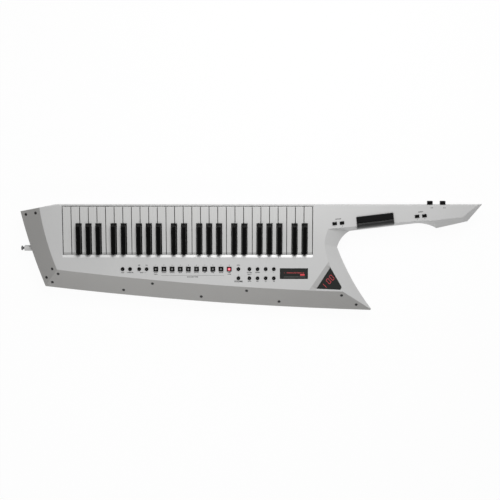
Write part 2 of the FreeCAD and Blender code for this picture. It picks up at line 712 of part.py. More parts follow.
def boss_room(lowered):
    """Where a boss that hangs from the panel may be: under the lowered front form."""
    return lowered.fuse(prism(inset(RIM, WALL), CHASSIS_Z - 1, PARTING_Z))


# Rear shell
def battery_size():
    along = CELL_COLUMNS * (CELL_LENGTH + CELL_GAP) + 6
    across = CELLS_PER_COLUMN * (2 * CELL_RADIUS + CELL_GAP) + 6
    return (along, across)


def bay(extra):
    """Room of the bay, which runs out through the side and the back of the case."""
    low_y, high_y = BAY_Y[0] - extra, BAY_Y[1] + extra
    return block(BAY_X - extra, BAY_X + 200, low_y, high_y, FLOOR_Z - 5, BAY_TOP_Z + extra)


STRAP_TIP_X = KEYS_LEFT_X - STRAP_REACH
STRAP_SEAT_X = STRAP_TIP_X + STRAP_HEAD + STRAP_NECK
NECK_PIN = right(372, 22)
NECK_PIN_SEAT_Z = NECK_FLOOR_Z - STRAP_BOSS


def collars():
    """Centre and outer radius of each round collar in the connector bay."""
    places = [(y, JACK_COLLAR) for y in JACK_YS]
    return places + [(MIDI_Y, MIDI_COLLAR), (DC_Y, DC_COLLAR)]


def bottom_case():
    outer = skin(BACK_FLOOR, FLOOR_Z, BACK_RIM, PARTING_Z)
    outer = outer.fuse(skin(NECK_FLOOR, NECK_FLOOR_Z, NECK_RIM, PARTING_Z)).cut(beyond_tail())
    body_room = skin(inset(BACK_FLOOR, WALL), FLOOR_Z + WALL, inset(BACK_RIM, WALL), PARTING_Z)
    body_room = body_room.fuse(prism(inset(BACK_RIM, WALL), PARTING_Z, PARTING_Z + 5))
    neck_room = skin(inset(NECK_FLOOR, WALL), NECK_FLOOR_Z + WALL, inset(NECK_RIM, WALL), PARTING_Z)
    neck_room = neck_room.fuse(prism(inset(NECK_RIM, WALL), PARTING_Z, PARTING_Z + 5))
    room = body_room.fuse(neck_room).cut(bay(WALL))
    pin_boss = rod(STRAP_BOSS_RADIUS, 45, Vector(STRAP_SEAT_X, STRAP_Y, STRAP_Z), Vector(1, 0, 0))
    neck_boss = rod(STRAP_BOSS_RADIUS, STRAP_BOSS + WALL + 2, flat(NECK_PIN, NECK_PIN_SEAT_Z))
    pin_boss = pin_boss.cut(body_room)
    shell = outer.fuse([pin_boss, neck_boss]).cut([room, bay(0)])

    post_top = {place: CHASSIS_Z for place in CHASSIS_POSTS}
    post_top.update({place: CHASSIS_Z for place in CASE_SCREWS + SHEET_SCREWS})
    posts = [rod(POST_RADIUS, top - FLOOR_Z - 1, flat(place, FLOOR_Z + 1)) for place, top in post_top.items()]
    tall = MAIN_BOARD_Z - FLOOR_Z - 1
    posts += [rod(3.0, tall, flat(place, FLOOR_Z + 1)) for place in main_board_corners()]
    shell = shell.fuse(posts)

    door = battery_size()
    cuts = [centred_block(BATTERY_CENTRE, (door[0] - 4, door[1] - 4), FLOOR_Z - 1, FLOOR_Z + WALL + 0.5)]
    window_z = JACK_Z - WINDOW_HALF_HEIGHT
    cuts.append(block(BAY_X - WALL - 1, BAY_X + 1, WINDOW_Y[0], WINDOW_Y[1],
                      window_z, window_z + 2 * WINDOW_HALF_HEIGHT))
    for place in CASE_SCREWS + SHEET_SCREWS:
        cuts.append(rod(SCREW_SHANK_RADIUS + SCREW_CLEARANCE, 12, flat(place, FLOOR_Z - 1)))
    cuts.append(rod(1.9, 12, Vector(STRAP_SEAT_X - 1, STRAP_Y, STRAP_Z), Vector(1, 0, 0)))
    cuts.append(rod(1.9, 9, flat(NECK_PIN, NECK_PIN_SEAT_Z - 1)))
    return shell.cut(cuts).removeSplitter()


def battery_door():
    size = battery_size()
    smaller = 4 + 2 * DOOR_GAP
    plate = centred_block(BATTERY_CENTRE, (size[0] - smaller, size[1] - smaller), FLOOR_Z, FLOOR_Z + WALL)
    first_x = BATTERY_CENTRE[0] - size[0] / 2 + 12
    grooves = [centred_block((first_x + 3 * index, BATTERY_CENTRE[1]), (1.2, 24), FLOOR_Z - 1, FLOOR_Z + 0.6)
               for index in range(4)]
    return plate.cut(grooves)


def battery_pack():
    size = battery_size()
    floor = FLOOR_Z + WALL
    tray_top = floor + 1.5 + CELL_RADIUS * 1.3
    tray = centred_block(BATTERY_CENTRE, size, floor, tray_top)
    tray = tray.cut(centred_block(BATTERY_CENTRE, (size[0] - 4, size[1] - 4), floor + 1.5, tray_top + 1))
    cells = []
    for column in range(CELL_COLUMNS):
        x = BATTERY_CENTRE[0] + (column - (CELL_COLUMNS - 1) / 2) * (CELL_LENGTH + CELL_GAP) - CELL_LENGTH / 2
        for row in range(CELLS_PER_COLUMN):
            y = BATTERY_CENTRE[1] + (row - (CELLS_PER_COLUMN - 1) / 2) * (2 * CELL_RADIUS + CELL_GAP)
            z = floor + 1.5 + CELL_RADIUS
            can = rod(CELL_RADIUS, CELL_LENGTH - 1.2, Vector(x, y, z), Vector(1, 0, 0))
            nub = rod(2.7, 1.2, Vector(x + CELL_LENGTH - 1.2, y, z), Vector(1, 0, 0))
            cells.append(can.fuse(nub).removeSplitter())
    return [tray] + cells


# Keys
def black_centre(index):
    """Plan x of the black key between white keys index and index + 1, or None."""
    offset = BLACK_OFFSETS.get(index % OCTAVE)
    if offset is None or not 0 <= index < WHITE_KEYS - 1:
        return None
    return KEYS_LEFT_X + (index + 1) * KEY_PITCH + offset


def white_span(index):
    """Low and high x of a white key where the black keys stand beside it."""
    low = KEYS_LEFT_X + index * KEY_PITCH + KEY_GAP / 2
    high = KEYS_LEFT_X + (index + 1) * KEY_PITCH - KEY_GAP / 2
    room = BLACK_BASE / 2 + BLACK_CLEARANCE
    before, after = black_centre(index - 1), black_centre(index)
    narrow_low = low if before is None else max(low, before + room)
    narrow_high = high if after is None else min(high, after - room)
    return low, high, narrow_low, narrow_high


def tail(centre_x, low_y):
    x0, x1 = centre_x - TAIL_WIDTH / 2, centre_x + TAIL_WIDTH / 2
    z0, z1 = PIVOT_Z - TAIL_HEIGHT / 2, PIVOT_Z + TAIL_HEIGHT / 2
    shape = block(x0, x1, low_y, WHITE_REAR_Y + TAIL_ROOT, z0, z1)
    radius = PIVOT_RADIUS + PIVOT_CLEARANCE
    bore = rod(radius, TAIL_WIDTH + 2, Vector(x0 - 1, PIVOT_Y, PIVOT_Z), Vector(1, 0, 0))
    return shape, bore


def white_key(index):
    low, high, narrow_low, narrow_high = white_span(index)
    z0, z1 = WHITE_TOP_Z - WHITE_SKIRT, WHITE_TOP_Z
    shoulder = BLACK_FRONT_Y + BLACK_FRONT_GAP
    body = block(low, high, shoulder, WHITE_FRONT_Y, z0, z1)
    body = body.fuse(block(narrow_low, narrow_high, WHITE_REAR_Y, shoulder, z0, z1)).removeSplitter()
    top_edges = [edge for edge in body.Edges if edge.BoundBox.ZMin > z1 - 0.01]
    edges = [edge for edge in top_edges if edge.BoundBox.YMax > WHITE_REAR_Y + 1]
    body = body.makeFillet(0.8, edges)
    hollow = [
        block(low + KEY_SKIN, high - KEY_SKIN, shoulder + KEY_SKIN, WHITE_FRONT_Y - KEY_SKIN,
              z0 - 1, z1 - KEY_SKIN),
        block(narrow_low + KEY_SKIN, narrow_high - KEY_SKIN, WHITE_REAR_Y + TAIL_ROOT + KEY_SKIN,
              shoulder + KEY_SKIN + 1, z0 - 1, z1 - KEY_SKIN),
    ]
    arm, bore = tail((narrow_low + narrow_high) / 2, PIVOT_Y - (TAIL_LENGTH - PIVOT_BACK))
    return body.cut(hollow).fuse(arm).cut(bore).removeSplitter()


def black_key(centre_x):
    base_z, top_z = WHITE_TOP_Z, WHITE_TOP_Z + BLACK_HEIGHT
    rear, front = WHITE_REAR_Y, BLACK_FRONT_Y

    def ring(half, front_y, z):
        corner = half * 0.55
        points = [(centre_x - half, front_y), (centre_x + half, front_y), (centre_x + half, rear + corner),
                  (centre_x - half, rear + corner)]
        edges = [
            Part.makeLine(flat(points[0], z), flat(points[1], z)),
            Part.makeLine(flat(points[1], z), flat(points[2], z)),
            Part.Arc(flat(points[2], z), Vector(centre_x, rear, z), flat(points[3], z)).toShape(),
            Part.makeLine(flat(points[3], z), flat(points[0], z)),
        ]
        return Part.Wire(edges)

    base, crown = ring(BLACK_BASE / 2, front, base_z), ring(BLACK_TOP / 2, front - BLACK_NOSE, top_z)
    upper = Part.makeLoft([base, crown], True, True)
    top_edges = [edge for edge in upper.Edges if edge.BoundBox.ZMin > top_z - 0.01]
    upper = upper.makeFillet(1.2, top_edges)
    lower = Part.Face(ring(BLACK_BASE / 2, front, base_z - BLACK_SKIRT)).extrude(Vector(0, 0, BLACK_SKIRT))
    body = upper.fuse(lower).removeSplitter()
    hollow_rear = rear + TAIL_ROOT + KEY_SKIN
    half_low, half_high = BLACK_BASE / 2 - KEY_SKIN, BLACK_TOP / 2 - KEY_SKIN
    hollow = block(centre_x - half_low, centre_x + half_low, hollow_rear, front - KEY_SKIN,
                   base_z - BLACK_SKIRT - 1, base_z)
    hollow = hollow.fuse(block(centre_x - half_high, centre_x + half_high, hollow_rear,
                               front - BLACK_NOSE - KEY_SKIN, base_z - 1, top_z - KEY_SKIN))
    arm, bore = tail(centre_x, PIVOT_Y - COMB_REACH)
    swing_room = block(centre_x - TAIL_WIDTH, centre_x + TAIL_WIDTH, PIVOT_Y - COMB_REACH - 1,
                       PIVOT_Y - TAIL_HEIGHT / 2, COMB_TOP_Z, PIVOT_Z + TAIL_HEIGHT)
    return body.cut(hollow).fuse(arm.cut(swing_room)), bore


def black_comb(octave):
    """The five black keys of one octave, moulded on a shared bar behind the pivot."""
    centres = [black_centre(octave * OCTAVE + step) for step in BLACK_OFFSETS]
    centres = [centre for centre in centres if centre is not None]
    keys = [black_key(centre) for centre in centres]
    bar = block(min(centres) - TAIL_WIDTH / 2, max(centres) + TAIL_WIDTH / 2, PIVOT_Y - COMB_REACH,
                PIVOT_Y - COMB_REACH + COMB_BAR, PIVOT_Z - TAIL_HEIGHT / 2, COMB_TOP_Z)
    comb = bar.fuse([body for body, _ in keys])
    return comb.cut([bore for _, bore in keys]).removeSplitter()


# Chassis under the keys
def tail_gap(index):
    """Middle of the space between the tails of white keys index and index + 1."""
    _, _, low, high = white_span(index)
    _, _, next_low, next_high = white_span(index + 1)
    return ((low + high) / 2 + (next_low + next_high) / 2) / 2


CHASSIS_SIDE = 5.0
LUG = 2.0
STOP_STRIP = (WHITE_FRONT_Y - 18.0, WHITE_FRONT_Y - 8.0)


def key_chassis():
    x0, x1 = KEYS_LEFT_X - CHASSIS_SIDE, KEYS_RIGHT_X + CHASSIS_SIDE
    y0, y1 = PIVOT_Y - 5, STOP_STRIP[1] + 2
    sheet = block(x0, x1, y0, y1, CHASSIS_Z, CHASSIS_Z + CHASSIS_SHEET)
    drop = (STOP_STRIP[1] - PIVOT_Y) * math.sin(math.radians(WHITE_SWING))
    stop_z = WHITE_TOP_Z - WHITE_SKIRT - drop - 0.4
    lug_xs = [x0 + LUG / 2, x1 - LUG / 2] + [tail_gap(index) for index in range(0, WHITE_KEYS - 1, OCTAVE)]
    lugs = [block(x - LUG / 2, x + LUG / 2, y0, PIVOT_Y + 6, CHASSIS_Z, PIVOT_Z + 5.5) for x in lug_xs]
    stop = block(x0, x1, STOP_STRIP[0], STOP_STRIP[1], CHASSIS_Z + CHASSIS_SHEET, stop_z - 2)
    folded = block(x0 - 1, x1 + 1, STOP_STRIP[0] + CHASSIS_SHEET, STOP_STRIP[1] - CHASSIS_SHEET,
                   CHASSIS_Z - 1, stop_z - 2 - CHASSIS_SHEET)
    frame = sheet.fuse(lugs + [stop]).cut(folded)
    frame = frame.cut(rod(PIVOT_RADIUS + 0.1, x1 - x0 + 2, Vector(x0 - 1, PIVOT_Y, PIVOT_Z), Vector(1, 0, 0)))
    felt = block(x0, x1, STOP_STRIP[0], STOP_STRIP[1], stop_z - 2, stop_z)
    pivot = rod(PIVOT_RADIUS, x1 - x0 + 4, Vector(x0 - 2, PIVOT_Y, PIVOT_Z), Vector(1, 0, 0))
    return [frame.removeSplitter(), felt, pivot]


CONTACT_YS = (WHITE_REAR_Y + 31.5, WHITE_REAR_Y + 55.5)
PADS = 4
PAD_LENGTH = 10.0


def key_contact_board():
    x0, x1 = KEYS_LEFT_X, KEYS_RIGHT_X
    board = block(x0, x1, CONTACT_YS[0], CONTACT_YS[1], CONTACT_BOARD_Z, CONTACT_BOARD_Z + BOARD)
    pad_pitch = (x1 - x0 - PAD_LENGTH - 68.6) / (PADS - 1)
    pad_xs = [x0 + 20 + index * pad_pitch for index in range(PADS)]
    pads = [block(x, x + PAD_LENGTH, CONTACT_YS[0] + 4, CONTACT_YS[1] - 4,
                  CHASSIS_Z + CHASSIS_SHEET, CONTACT_BOARD_Z) for x in pad_xs]
    top = CONTACT_BOARD_Z + BOARD
    rubber = block(x0 + 2, x1 - 2, CONTACT_YS[0] + 6, CONTACT_YS[1] - 6, top, top + 3.5)
    return [board] + pads + [rubber]


MAIN_BOARD = (KEYS_RIGHT_X - 398.0, KEYS_RIGHT_X - 108.0, WHITE_REAR_Y - 56.5, WHITE_REAR_Y + 53.5)


def main_board_corners():
    x0, x1, y0, y1 = MAIN_BOARD
    return [(x, y) for x in (x0 + 6, x1 - 6) for y in (y0 + 6, y1 - 6)]


def main_board():
    x0, x1, y0, y1 = MAIN_BOARD
    board = block(x0, x1, y0, y1, MAIN_BOARD_Z, MAIN_BOARD_Z + BOARD)
    top = MAIN_BOARD_Z + BOARD
    chips = [
        block(x0 + 90, x0 + 118, y0 + 40, y0 + 68, top, top + 1.6),
        block(x0 + 150, x0 + 172, y0 + 20, y0 + 42, top, top + 1.6),
        block(x0 + 150, x0 + 160, y0 + 60, y0 + 78, top, top + 1.2),
        rod(4.0, 9.0, Vector(x0 + 40, y0 + 30, top)),
        rod(4.0, 9.0, Vector(x0 + 52, y0 + 30, top)),
        block(x0 + 220, x0 + 244, y0 + 20, y0 + 27, top, top + 8),
        block(x0 + 220, x0 + 244, y0 + 80, y0 + 87, top, top + 8),
    ]
    return [board] + chips


def switch_boards():
    """Boards under the panel and neck buttons, each with its small switches."""
    top = SWITCH_BOARD_Z + BOARD
    pieces = [thin_zones(2, SWITCH_BOARD_Z, top)]
    centres = [centre for _, places in button_groups().values() for centre in places]
    for first in NECK_PAIRS.values():
        places = neck_button_places(first)
        middle = ((places[0][0] + places[1][0]) / 2, (places[0][1] + places[1][1]) / 2)
        pieces.append(turned(centred_block(middle, (40, 14), SWITCH_BOARD_Z, top), NECK_ANGLE, middle))
        pieces.append(turned(centred_block(middle, (5, 5), top, CEILING_Z), NECK_ANGLE, middle))
        centres += places
    pieces += [centred_block(centre, (SWITCH_SIDE, SWITCH_SIDE), top, SWITCH_TOP_Z) for centre in centres]
    inner_y = TOP_EDGE_Y - WALL - STOP_GAP - FLANGE_HEIGHT - EDGE_BUTTON_TRAVEL - STOP_GAP
    middle_x = sum(EDGE_XS) / 2
    board_y = inner_y - 4
    low_z, high_z = EDGE_BUTTON_Z - 3, EDGE_BUTTON_Z + 3
    pieces.append(block(EDGE_XS[0] - 12, EDGE_XS[1] + 12, board_y - BOARD, board_y, low_z - 3, high_z + 3))
    pieces.append(block(middle_x - 3, middle_x + 3, board_y, TOP_EDGE_Y - WALL, low_z, high_z))
    pieces += [block(x - 3, x + 3, board_y, inner_y, low_z, high_z) for x in EDGE_XS]
    return pieces


def display_modules():
    size = screen_size(-2 * SCREEN_LEDGE - 0.6)
    screen = centred_block(SCREEN_CENTRE, size, CEILING_Z - 2, PANEL_Z - SCREEN_GLASS)
    return [screen, number_opening(NUMBER_LEDGE + 1.0, CEILING_Z - 3)]


def screen_window():
    return centred_block(SCREEN_CENTRE, SCREEN_SIZE, PANEL_Z - SCREEN_GLASS, PANEL_Z)


def strap_pin(seat, direction):
    shank = rod(1.7, 8.0, seat - direction * 8.0, direction)
    neck = rod(STRAP_NECK_RADIUS, STRAP_NECK, seat, direction)
    head = rod(STRAP_HEAD_RADIUS, STRAP_HEAD, seat + direction * STRAP_NECK, direction)
    rims = [edge for edge in head.Edges if edge.Length > 2 * math.pi * (STRAP_HEAD_RADIUS - 0.1)]
    rims = [edge for edge in rims if len(edge.Vertexes) == 1]
    head = head.makeFillet(1.2, rims)
    return shank.fuse([neck, head]).removeSplitter()


def strap_pins():
    end = strap_pin(Vector(STRAP_SEAT_X, STRAP_Y, STRAP_Z), Vector(-1, 0, 0))
    neck = strap_pin(flat(NECK_PIN, NECK_PIN_SEAT_Z), Vector(0, 0, -1))
    return [end, neck]


def jack_panel():
    """Plate behind the bay's wall with its sockets, whose collars reach through the wall."""
    wall_x = BAY_X - WALL
    rear_x = wall_x - PLATE
    mouth = BAY_X + COLLAR_OUT
    outward = Vector(1, 0, 0)
    panel = block(rear_x, wall_x, BAY_Y[0] + 2, BAY_Y[1] - 2, FLOOR_Z + WALL + 0.6, JACK_Z + 10)
    half = JACK_COLLAR + 2.3
    solids = [block(rear_x - 25, rear_x, y - half, y + half, JACK_Z - 7, JACK_Z + 8) for y in JACK_YS]
    half = MIDI_COLLAR + 1.4
    solids.append(block(rear_x - 10, rear_x, MIDI_Y - half, MIDI_Y + half, JACK_Z - 7.5, JACK_Z + 9))
    half = DC_COLLAR + 0.3
    solids.append(block(rear_x - 12, rear_x, DC_Y - half, DC_Y + half, JACK_Z - 6, JACK_Z + 7))
    solids.append(block(rear_x - 14, mouth, USB_Y - 6.0, USB_Y + 6.0, JACK_Z - 5.5, JACK_Z + 5.5))
    solids += [rod(radius, mouth - rear_x, Vector(rear_x, y, JACK_Z), outward) for y, radius in collars()]
    bore_x = mouth - JACK_BORE_LENGTH
    cuts = [rod(JACK_BORE, JACK_BORE_LENGTH, Vector(bore_x, y, JACK_Z), outward) for y in JACK_YS]
    cuts.append(rod(MIDI_SHELL, MIDI_DEPTH, Vector(mouth - MIDI_DEPTH, MIDI_Y, JACK_Z), outward))
    for degrees in (0, 45, 90, 135, 180):
        y = MIDI_Y + MIDI_PIN_CIRCLE * math.cos(math.radians(degrees))
        z = JACK_Z + MIDI_PIN_CIRCLE * math.sin(math.radians(degrees)) - 1.5
        cuts.append(rod(0.8, 8, Vector(mouth - 9, y, z), outward))
    cuts.append(rod(DC_BORE, 9, Vector(mouth - 9, DC_Y, JACK_Z), outward))
    cuts.append(block(mouth - 3.8, mouth + 1, USB_Y - 4.3, USB_Y + 4.3, JACK_Z - 3.9, JACK_Z + 3.9))
    pin = rod(1.0, 8.5, Vector(mouth - 9, DC_Y, JACK_Z), outward)
    tongue = block(mouth - 3.8, mouth - 0.6, USB_Y - 2.8, USB_Y + 2.8, JACK_Z - 1.6, JACK_Z + 1.6)
    return panel.fuse(solids).cut(cuts).fuse([pin, tongue]).removeSplitter()


def rubber_feet():
    feet = []
    for place in FEET:
        foot = rod(FOOT_RADIUS, FOOT_HEIGHT, flat(place, 0))
        low = [edge for edge in foot.Edges if edge.BoundBox.ZMax < 0.01]
        feet.append(foot.makeChamfer(0.8, low))
    return feet


def back_screws():
    screws = []
    for place in CASE_SCREWS + SHEET_SCREWS:
        head = rod(3.0, SCREW_HEAD, flat(place, FLOOR_Z - SCREW_HEAD))
        shank = rod(SCREW_SHANK_RADIUS, 9.5, flat(place, FLOOR_Z))
        screws.append(head.fuse(shank).removeSplitter())
    return screws


def save(name, shape):
    solids = shape if isinstance(shape, list) else [shape]
    solids = [solid for piece in solids for solid in piece.Solids]
    made = solids[0] if len(solids) == 1 else Part.makeCompound(solids)
    made.exportStep(f"parts/{name}.step")
    valid = all(solid.isValid() for solid in solids)
    box = made.BoundBox
    print(f"{name}: {len(solids)} solids, valid {valid}, volume {made.Volume / 1000:.2f} cm3, "
          f"x {box.XMin:.2f} {box.XMax:.2f} y {box.YMin:.2f} {box.YMax:.2f} z {box.ZMin:.2f} {box.ZMax:.2f}")


def main():
    os.makedirs("parts", exist_ok=True)
    form = front_form()
    lowered = skin(RIM, RIM_Z, PANEL, PANEL_Z)
    lowered.translate(Vector(0, 0, -BLADE_THICKNESS))
    blades = [zone.common(form).cut(lowered) for zone in blade_zones()]
    screws, screw_holes = blade_screw_tools(form)

    save("top_case", top_case(form, blades, screw_holes))
    save("left_edge_blade", blades[0].cut(screw_holes))
    save("long_edge_blade", blades[1].cut(screw_holes))
    save("edge_blade_screws", screws)
    save("bottom_case", bottom_case())
    save("back_screws", back_screws())
    save("rubber_feet", rubber_feet())
    save("battery_door", battery_door())
    save("battery_pack", battery_pack())
    save("jack_panel", jack_panel())
    save("strap_pins", strap_pins())
    save("key_chassis", key_chassis())
    save("key_contact_board", key_contact_board())
    save("main_board", main_board())
    save("switch_boards", switch_boards())
    save("display_modules", display_modules())
    save("screen_window", screen_window())
    save("number_window", number_window())
    save("ribbon_strip", ribbon_strip())
    save("pressure_bar", pressure_bar())
    for name, (kind, places) in button_groups().items():
        save(name, [panel_button(kind, centre) for centre in places])
    for name, first in NECK_PAIRS.items():
        save(name, [neck_button(centre) for centre in neck_button_places(first)])
    save("edge_buttons", [edge_button(x) for x in EDGE_XS])
    for index in range(WHITE_KEYS):
        save(f"white_key_{index + 1:02d}", white_key(index))
    for octave in range((WHITE_KEYS - 1) // OCTAVE):
        save(f"black_keys_{octave + 1}", black_comb(octave))


main()
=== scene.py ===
import math

import bpy
from mathutils import Matrix, Vector


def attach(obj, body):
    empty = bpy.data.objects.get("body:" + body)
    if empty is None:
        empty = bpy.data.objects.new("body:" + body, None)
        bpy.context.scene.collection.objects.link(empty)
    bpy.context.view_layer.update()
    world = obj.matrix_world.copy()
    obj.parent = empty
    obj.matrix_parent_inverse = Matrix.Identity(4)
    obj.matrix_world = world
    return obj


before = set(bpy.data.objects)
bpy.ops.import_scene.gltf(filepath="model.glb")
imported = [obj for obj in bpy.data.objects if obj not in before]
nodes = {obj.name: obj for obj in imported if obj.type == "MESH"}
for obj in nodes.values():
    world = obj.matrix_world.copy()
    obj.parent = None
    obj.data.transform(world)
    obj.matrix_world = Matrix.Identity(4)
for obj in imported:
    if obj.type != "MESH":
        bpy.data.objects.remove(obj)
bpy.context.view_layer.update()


# The view: the keytar lies on its back and is seen from above, leaning a little towards its straight
# edge. Sizes and places on the object are in millimetres, turned to metres by MM.
MM = 0.001
VIEW_FROM = Vector((-1.9, 462.6, 3035.0)) * MM
VIEW_AT = Vector((-1.9, 19.2, 68.0)) * MM
LENS = 79.35
SENSOR = 36.0


def looking(place, target):
    """The placement of a camera or lamp that looks at a point, with +Y up in its picture."""
    away = (place - target).normalized()
    across = Vector((0.0, 1.0, 0.0)).cross(away).normalized()
    turn = Matrix((across, away.cross(across), away)).transposed()
    return Matrix.Translation(place) @ turn.to_4x4()


camera = bpy.data.objects.new("camera", bpy.data.cameras.new("camera"))
camera.data.lens = LENS
camera.data.sensor_width = SENSOR
camera.data.clip_end = 60.0
camera.matrix_world = looking(VIEW_FROM, VIEW_AT)
bpy.context.scene.collection.objects.link(camera)
bpy.context.scene.camera = camera
bpy.context.scene.view_settings.view_transform = "Standard"


# The studio, in metres: a wide white floor, a pale sky that is dim overhead so that black gloss stays
# black, a large soft lamp over the straight edge and a weak one across the bow-shaped edge.
FLOOR_SIDE = 60.0
SKY_OVERHEAD = 0.12
SKY_LEVEL = 0.6


class Socket:
    """A shader socket that sums and products can be written with."""

    def __init__(self, tree, plug):
        self.tree = tree
        self.plug = plug

    def feed(self, target, value):
        if isinstance(value, Socket):
            self.tree.links.new(value.plug, target)
        else:
            target.default_value = value

    def node(self, kind, settings=None, inputs=None, output=0):
        """Any node: its type, its settings, and the values or links of its inputs."""
        made = self.tree.nodes.new(kind)
        for name, value in (settings or {}).items():
            setattr(made, name, value)
        for name, value in (inputs or {}).items():
            self.feed(made.inputs[name], value)
        return Socket(self.tree, made.outputs[output])

    def maths(self, operation, *values):
        return self.node("ShaderNodeMath", {"operation": operation}, dict(enumerate(values)))

    def __add__(self, other):
        return self.maths("ADD", self, other)

    __radd__ = __add__

    def __mul__(self, other):
        return self.maths("MULTIPLY", self, other)

    __rmul__ = __mul__

    def __sub__(self, other):
        return self.maths("SUBTRACT", self, other)

    def __rsub__(self, other):
        return self.maths("SUBTRACT", other, self)

    def ramp(self, low, high):
        """0 under low, 1 over high, and even between them."""
        return self.node("ShaderNodeMapRange", {}, {"Value": self, "From Min": low, "From Max": high})

    def axis(self, name):
        return self.node("ShaderNodeSeparateXYZ", {}, {"Vector": self}, "XYZ".index(name))

    def stretched(self, scale):
        return self.node("ShaderNodeMapping", {}, {"Vector": self, "Scale": scale})

    def noise(self, scale, detail=2.0):
        return self.node("ShaderNodeTexNoise", {}, {"Vector": self, "Scale": scale, "Detail": detail})

    def cells(self, scale):
        return self.node("ShaderNodeTexVoronoi", {}, {"Vector": self, "Scale": scale}, 1)

    def blend(self, first, second):
        """This value's mix of two colours."""
        settings = {"data_type": "RGBA"}
        return self.node("ShaderNodeMix", settings, {0: self, 6: first, 7: second}, 2)

    def bump(self, distance, strength=1.0):
        return self.node("ShaderNodeBump", {}, {"Height": self, "Distance": distance, "Strength": strength})


sky = bpy.data.worlds.new("sky")
bpy.context.scene.world = sky
sky.use_nodes = True
sky_start = Socket(sky.node_tree, None)
sky_way = sky_start.node("ShaderNodeTexCoord", output=0)
sky_dim = sky_way.axis("Z").ramp(0.25, 0.75)
sky_light = sky_dim.blend((SKY_LEVEL, SKY_LEVEL, SKY_LEVEL, 1), (SKY_OVERHEAD, SKY_OVERHEAD, SKY_OVERHEAD, 1))
sky_start.feed(sky.node_tree.nodes["Background"].inputs["Color"], sky_light)

bpy.ops.mesh.primitive_plane_add(size=FLOOR_SIDE)
floor = bpy.context.object
floor.name = "floor"
floor_finish = bpy.data.materials.new("floor_white")
floor_finish.use_nodes = True
floor_start = Socket(floor_finish.node_tree, None)
seen = floor_start.node("ShaderNodeLightPath", output="Is Camera Ray")
mirrored = floor_start.node("ShaderNodeLightPath", output="Is Glossy Ray")
through = floor_start.node("ShaderNodeLightPath", output="Is Transmission Ray")
shown = (seen + mirrored + through).ramp(0.0, 1.0)
paper = floor_start.node("ShaderNodeBsdfDiffuse", {}, {"Color": (0.8, 0.8, 0.8, 1)})
glow = floor_start.node("ShaderNodeEmission", {}, {"Color": (1, 1, 1, 1)})
floor_mix = floor_start.node("ShaderNodeMixShader", {}, {0: shown * 0.96, 1: paper, 2: glow})
floor_output = floor_finish.node_tree.nodes["Material Output"]
floor_start.feed(floor_output.inputs["Surface"], floor_mix)
floor.data.materials.append(floor_finish)


def lamp(name, place, target, size, watts):
    made = bpy.data.objects.new(name, bpy.data.lights.new(name, "AREA"))
    made.data.shape = "RECTANGLE"
    made.data.size, made.data.size_y = size
    made.data.energy = watts
    made.visible_camera = False
    made.matrix_world = looking(Vector(place), Vector(target))
    bpy.context.scene.collection.objects.link(made)


lamp("over_keys", (0.16, 0.86, 1.18), (0.05, 0.0, 0.0), (0.9, 0.8), 18.0)
lamp("across_bow_edge", (-0.32, -0.80, 1.0), (-0.15, 0.0, 0.0), (1.2, 0.4), 4.3)


# The front shell is one moulding of plastic in silver paint with very fine flakes. It carries the
# panel, the tail slope and the neck, and the rest of the front is fixed to it.
SILVER = (0.585, 0.585, 0.582, 1)
SILVER_DEEP = (0.545, 0.545, 0.543, 1)


def finish(name, values):
    """A new material, its shader, and the place of each point on the piece."""
    made = bpy.data.materials.new(name)
    made.use_nodes = True
    shader = made.node_tree.nodes["Principled BSDF"]
    for key, value in values.items():
        shader.inputs[key].default_value = value
    start = Socket(made.node_tree, None)
    return made, shader, start.node("ShaderNodeTexCoord", output="Object")


def spray_paint(name, colour, deep_colour, roughness):
    """Satin paint with fine flakes, cloudiness and a spray grain, and its parts for a mask to use."""
    made, shader, place = finish(name, {"Metallic": 0.12, "Coat Weight": 0.15, "Coat Roughness": 0.35})
    flakes = place.cells(1800.0).ramp(0.2, 0.9)
    clouds = place.noise(9.0, 3.0).ramp(0.3, 0.7)
    tone = flakes * 0.45 + clouds * 0.35
    sprayed = tone.blend(colour, deep_colour)
    place.feed(shader.inputs["Base Color"], sprayed)
    place.feed(shader.inputs["Roughness"], flakes * 0.05 + roughness)
    grain = place.noise(2600.0, 1.0) + place.noise(420.0, 2.0) * 0.6
    place.feed(shader.inputs["Normal"], grain.bump(0.00003, 0.5))
    return made, shader, place, sprayed


def dress(node, material):
    """Gives a CAD node its material."""
    mesh = nodes[node].data
    mesh.materials.clear()
    mesh.materials.append(material)


def within(value, low, high, blur=0.1):
    """1 between two places in millimetres, and 0 outside them."""
    return value.ramp(low * MM, (low + blur) * MM) * (1 - value.ramp((high - blur) * MM, high * MM))


# On this shell the slope beside the number window gets painted shade, a darker colour for the shade
# on that recess slope, and the lip behind the keys gets a painted highlight, a lighter colour for the
# light that falls on it. Each is bounded by its span along X, Y, Z or a slanted line.
PANEL_Z = 68.0
OVER_PANEL_Z = PANEL_Z + 0.1
SLOPE_PAINTED_SHADE = (0.455, 0.452, 0.447, 1)
SLOPE_OUTWARD = (-0.83, 0.558)
SLOPE_SPAN = (-198.9, -183.4)
SLOPE_END_OUTWARD = (0.956, 0.293)
SLOPE_END_SPAN = (120.0, 199.7)
SLOPE_Y_SPAN = (-91.0, -13.0)
SLOPE_LOW_Z = 58.0
LIP_PAINTED_HIGHLIGHT = (0.70, 0.70, 0.696, 1)
LIP_X_SPAN = (-513.0, 170.0)
LIP_Y_SPAN = (-1.4, 5.8)
LIP_LOW_Z = 64.3
silver_paint, silver_shader, silver_place, sprayed_silver = spray_paint(
    "silver_paint", SILVER, SILVER_DEEP, 0.40)
silver_x, silver_y, silver_z = (silver_place.axis(name) for name in "XYZ")
across_slope = silver_x * SLOPE_OUTWARD[0] + silver_y * SLOPE_OUTWARD[1]
along_slope = silver_x * SLOPE_END_OUTWARD[0] + silver_y * SLOPE_END_OUTWARD[1]
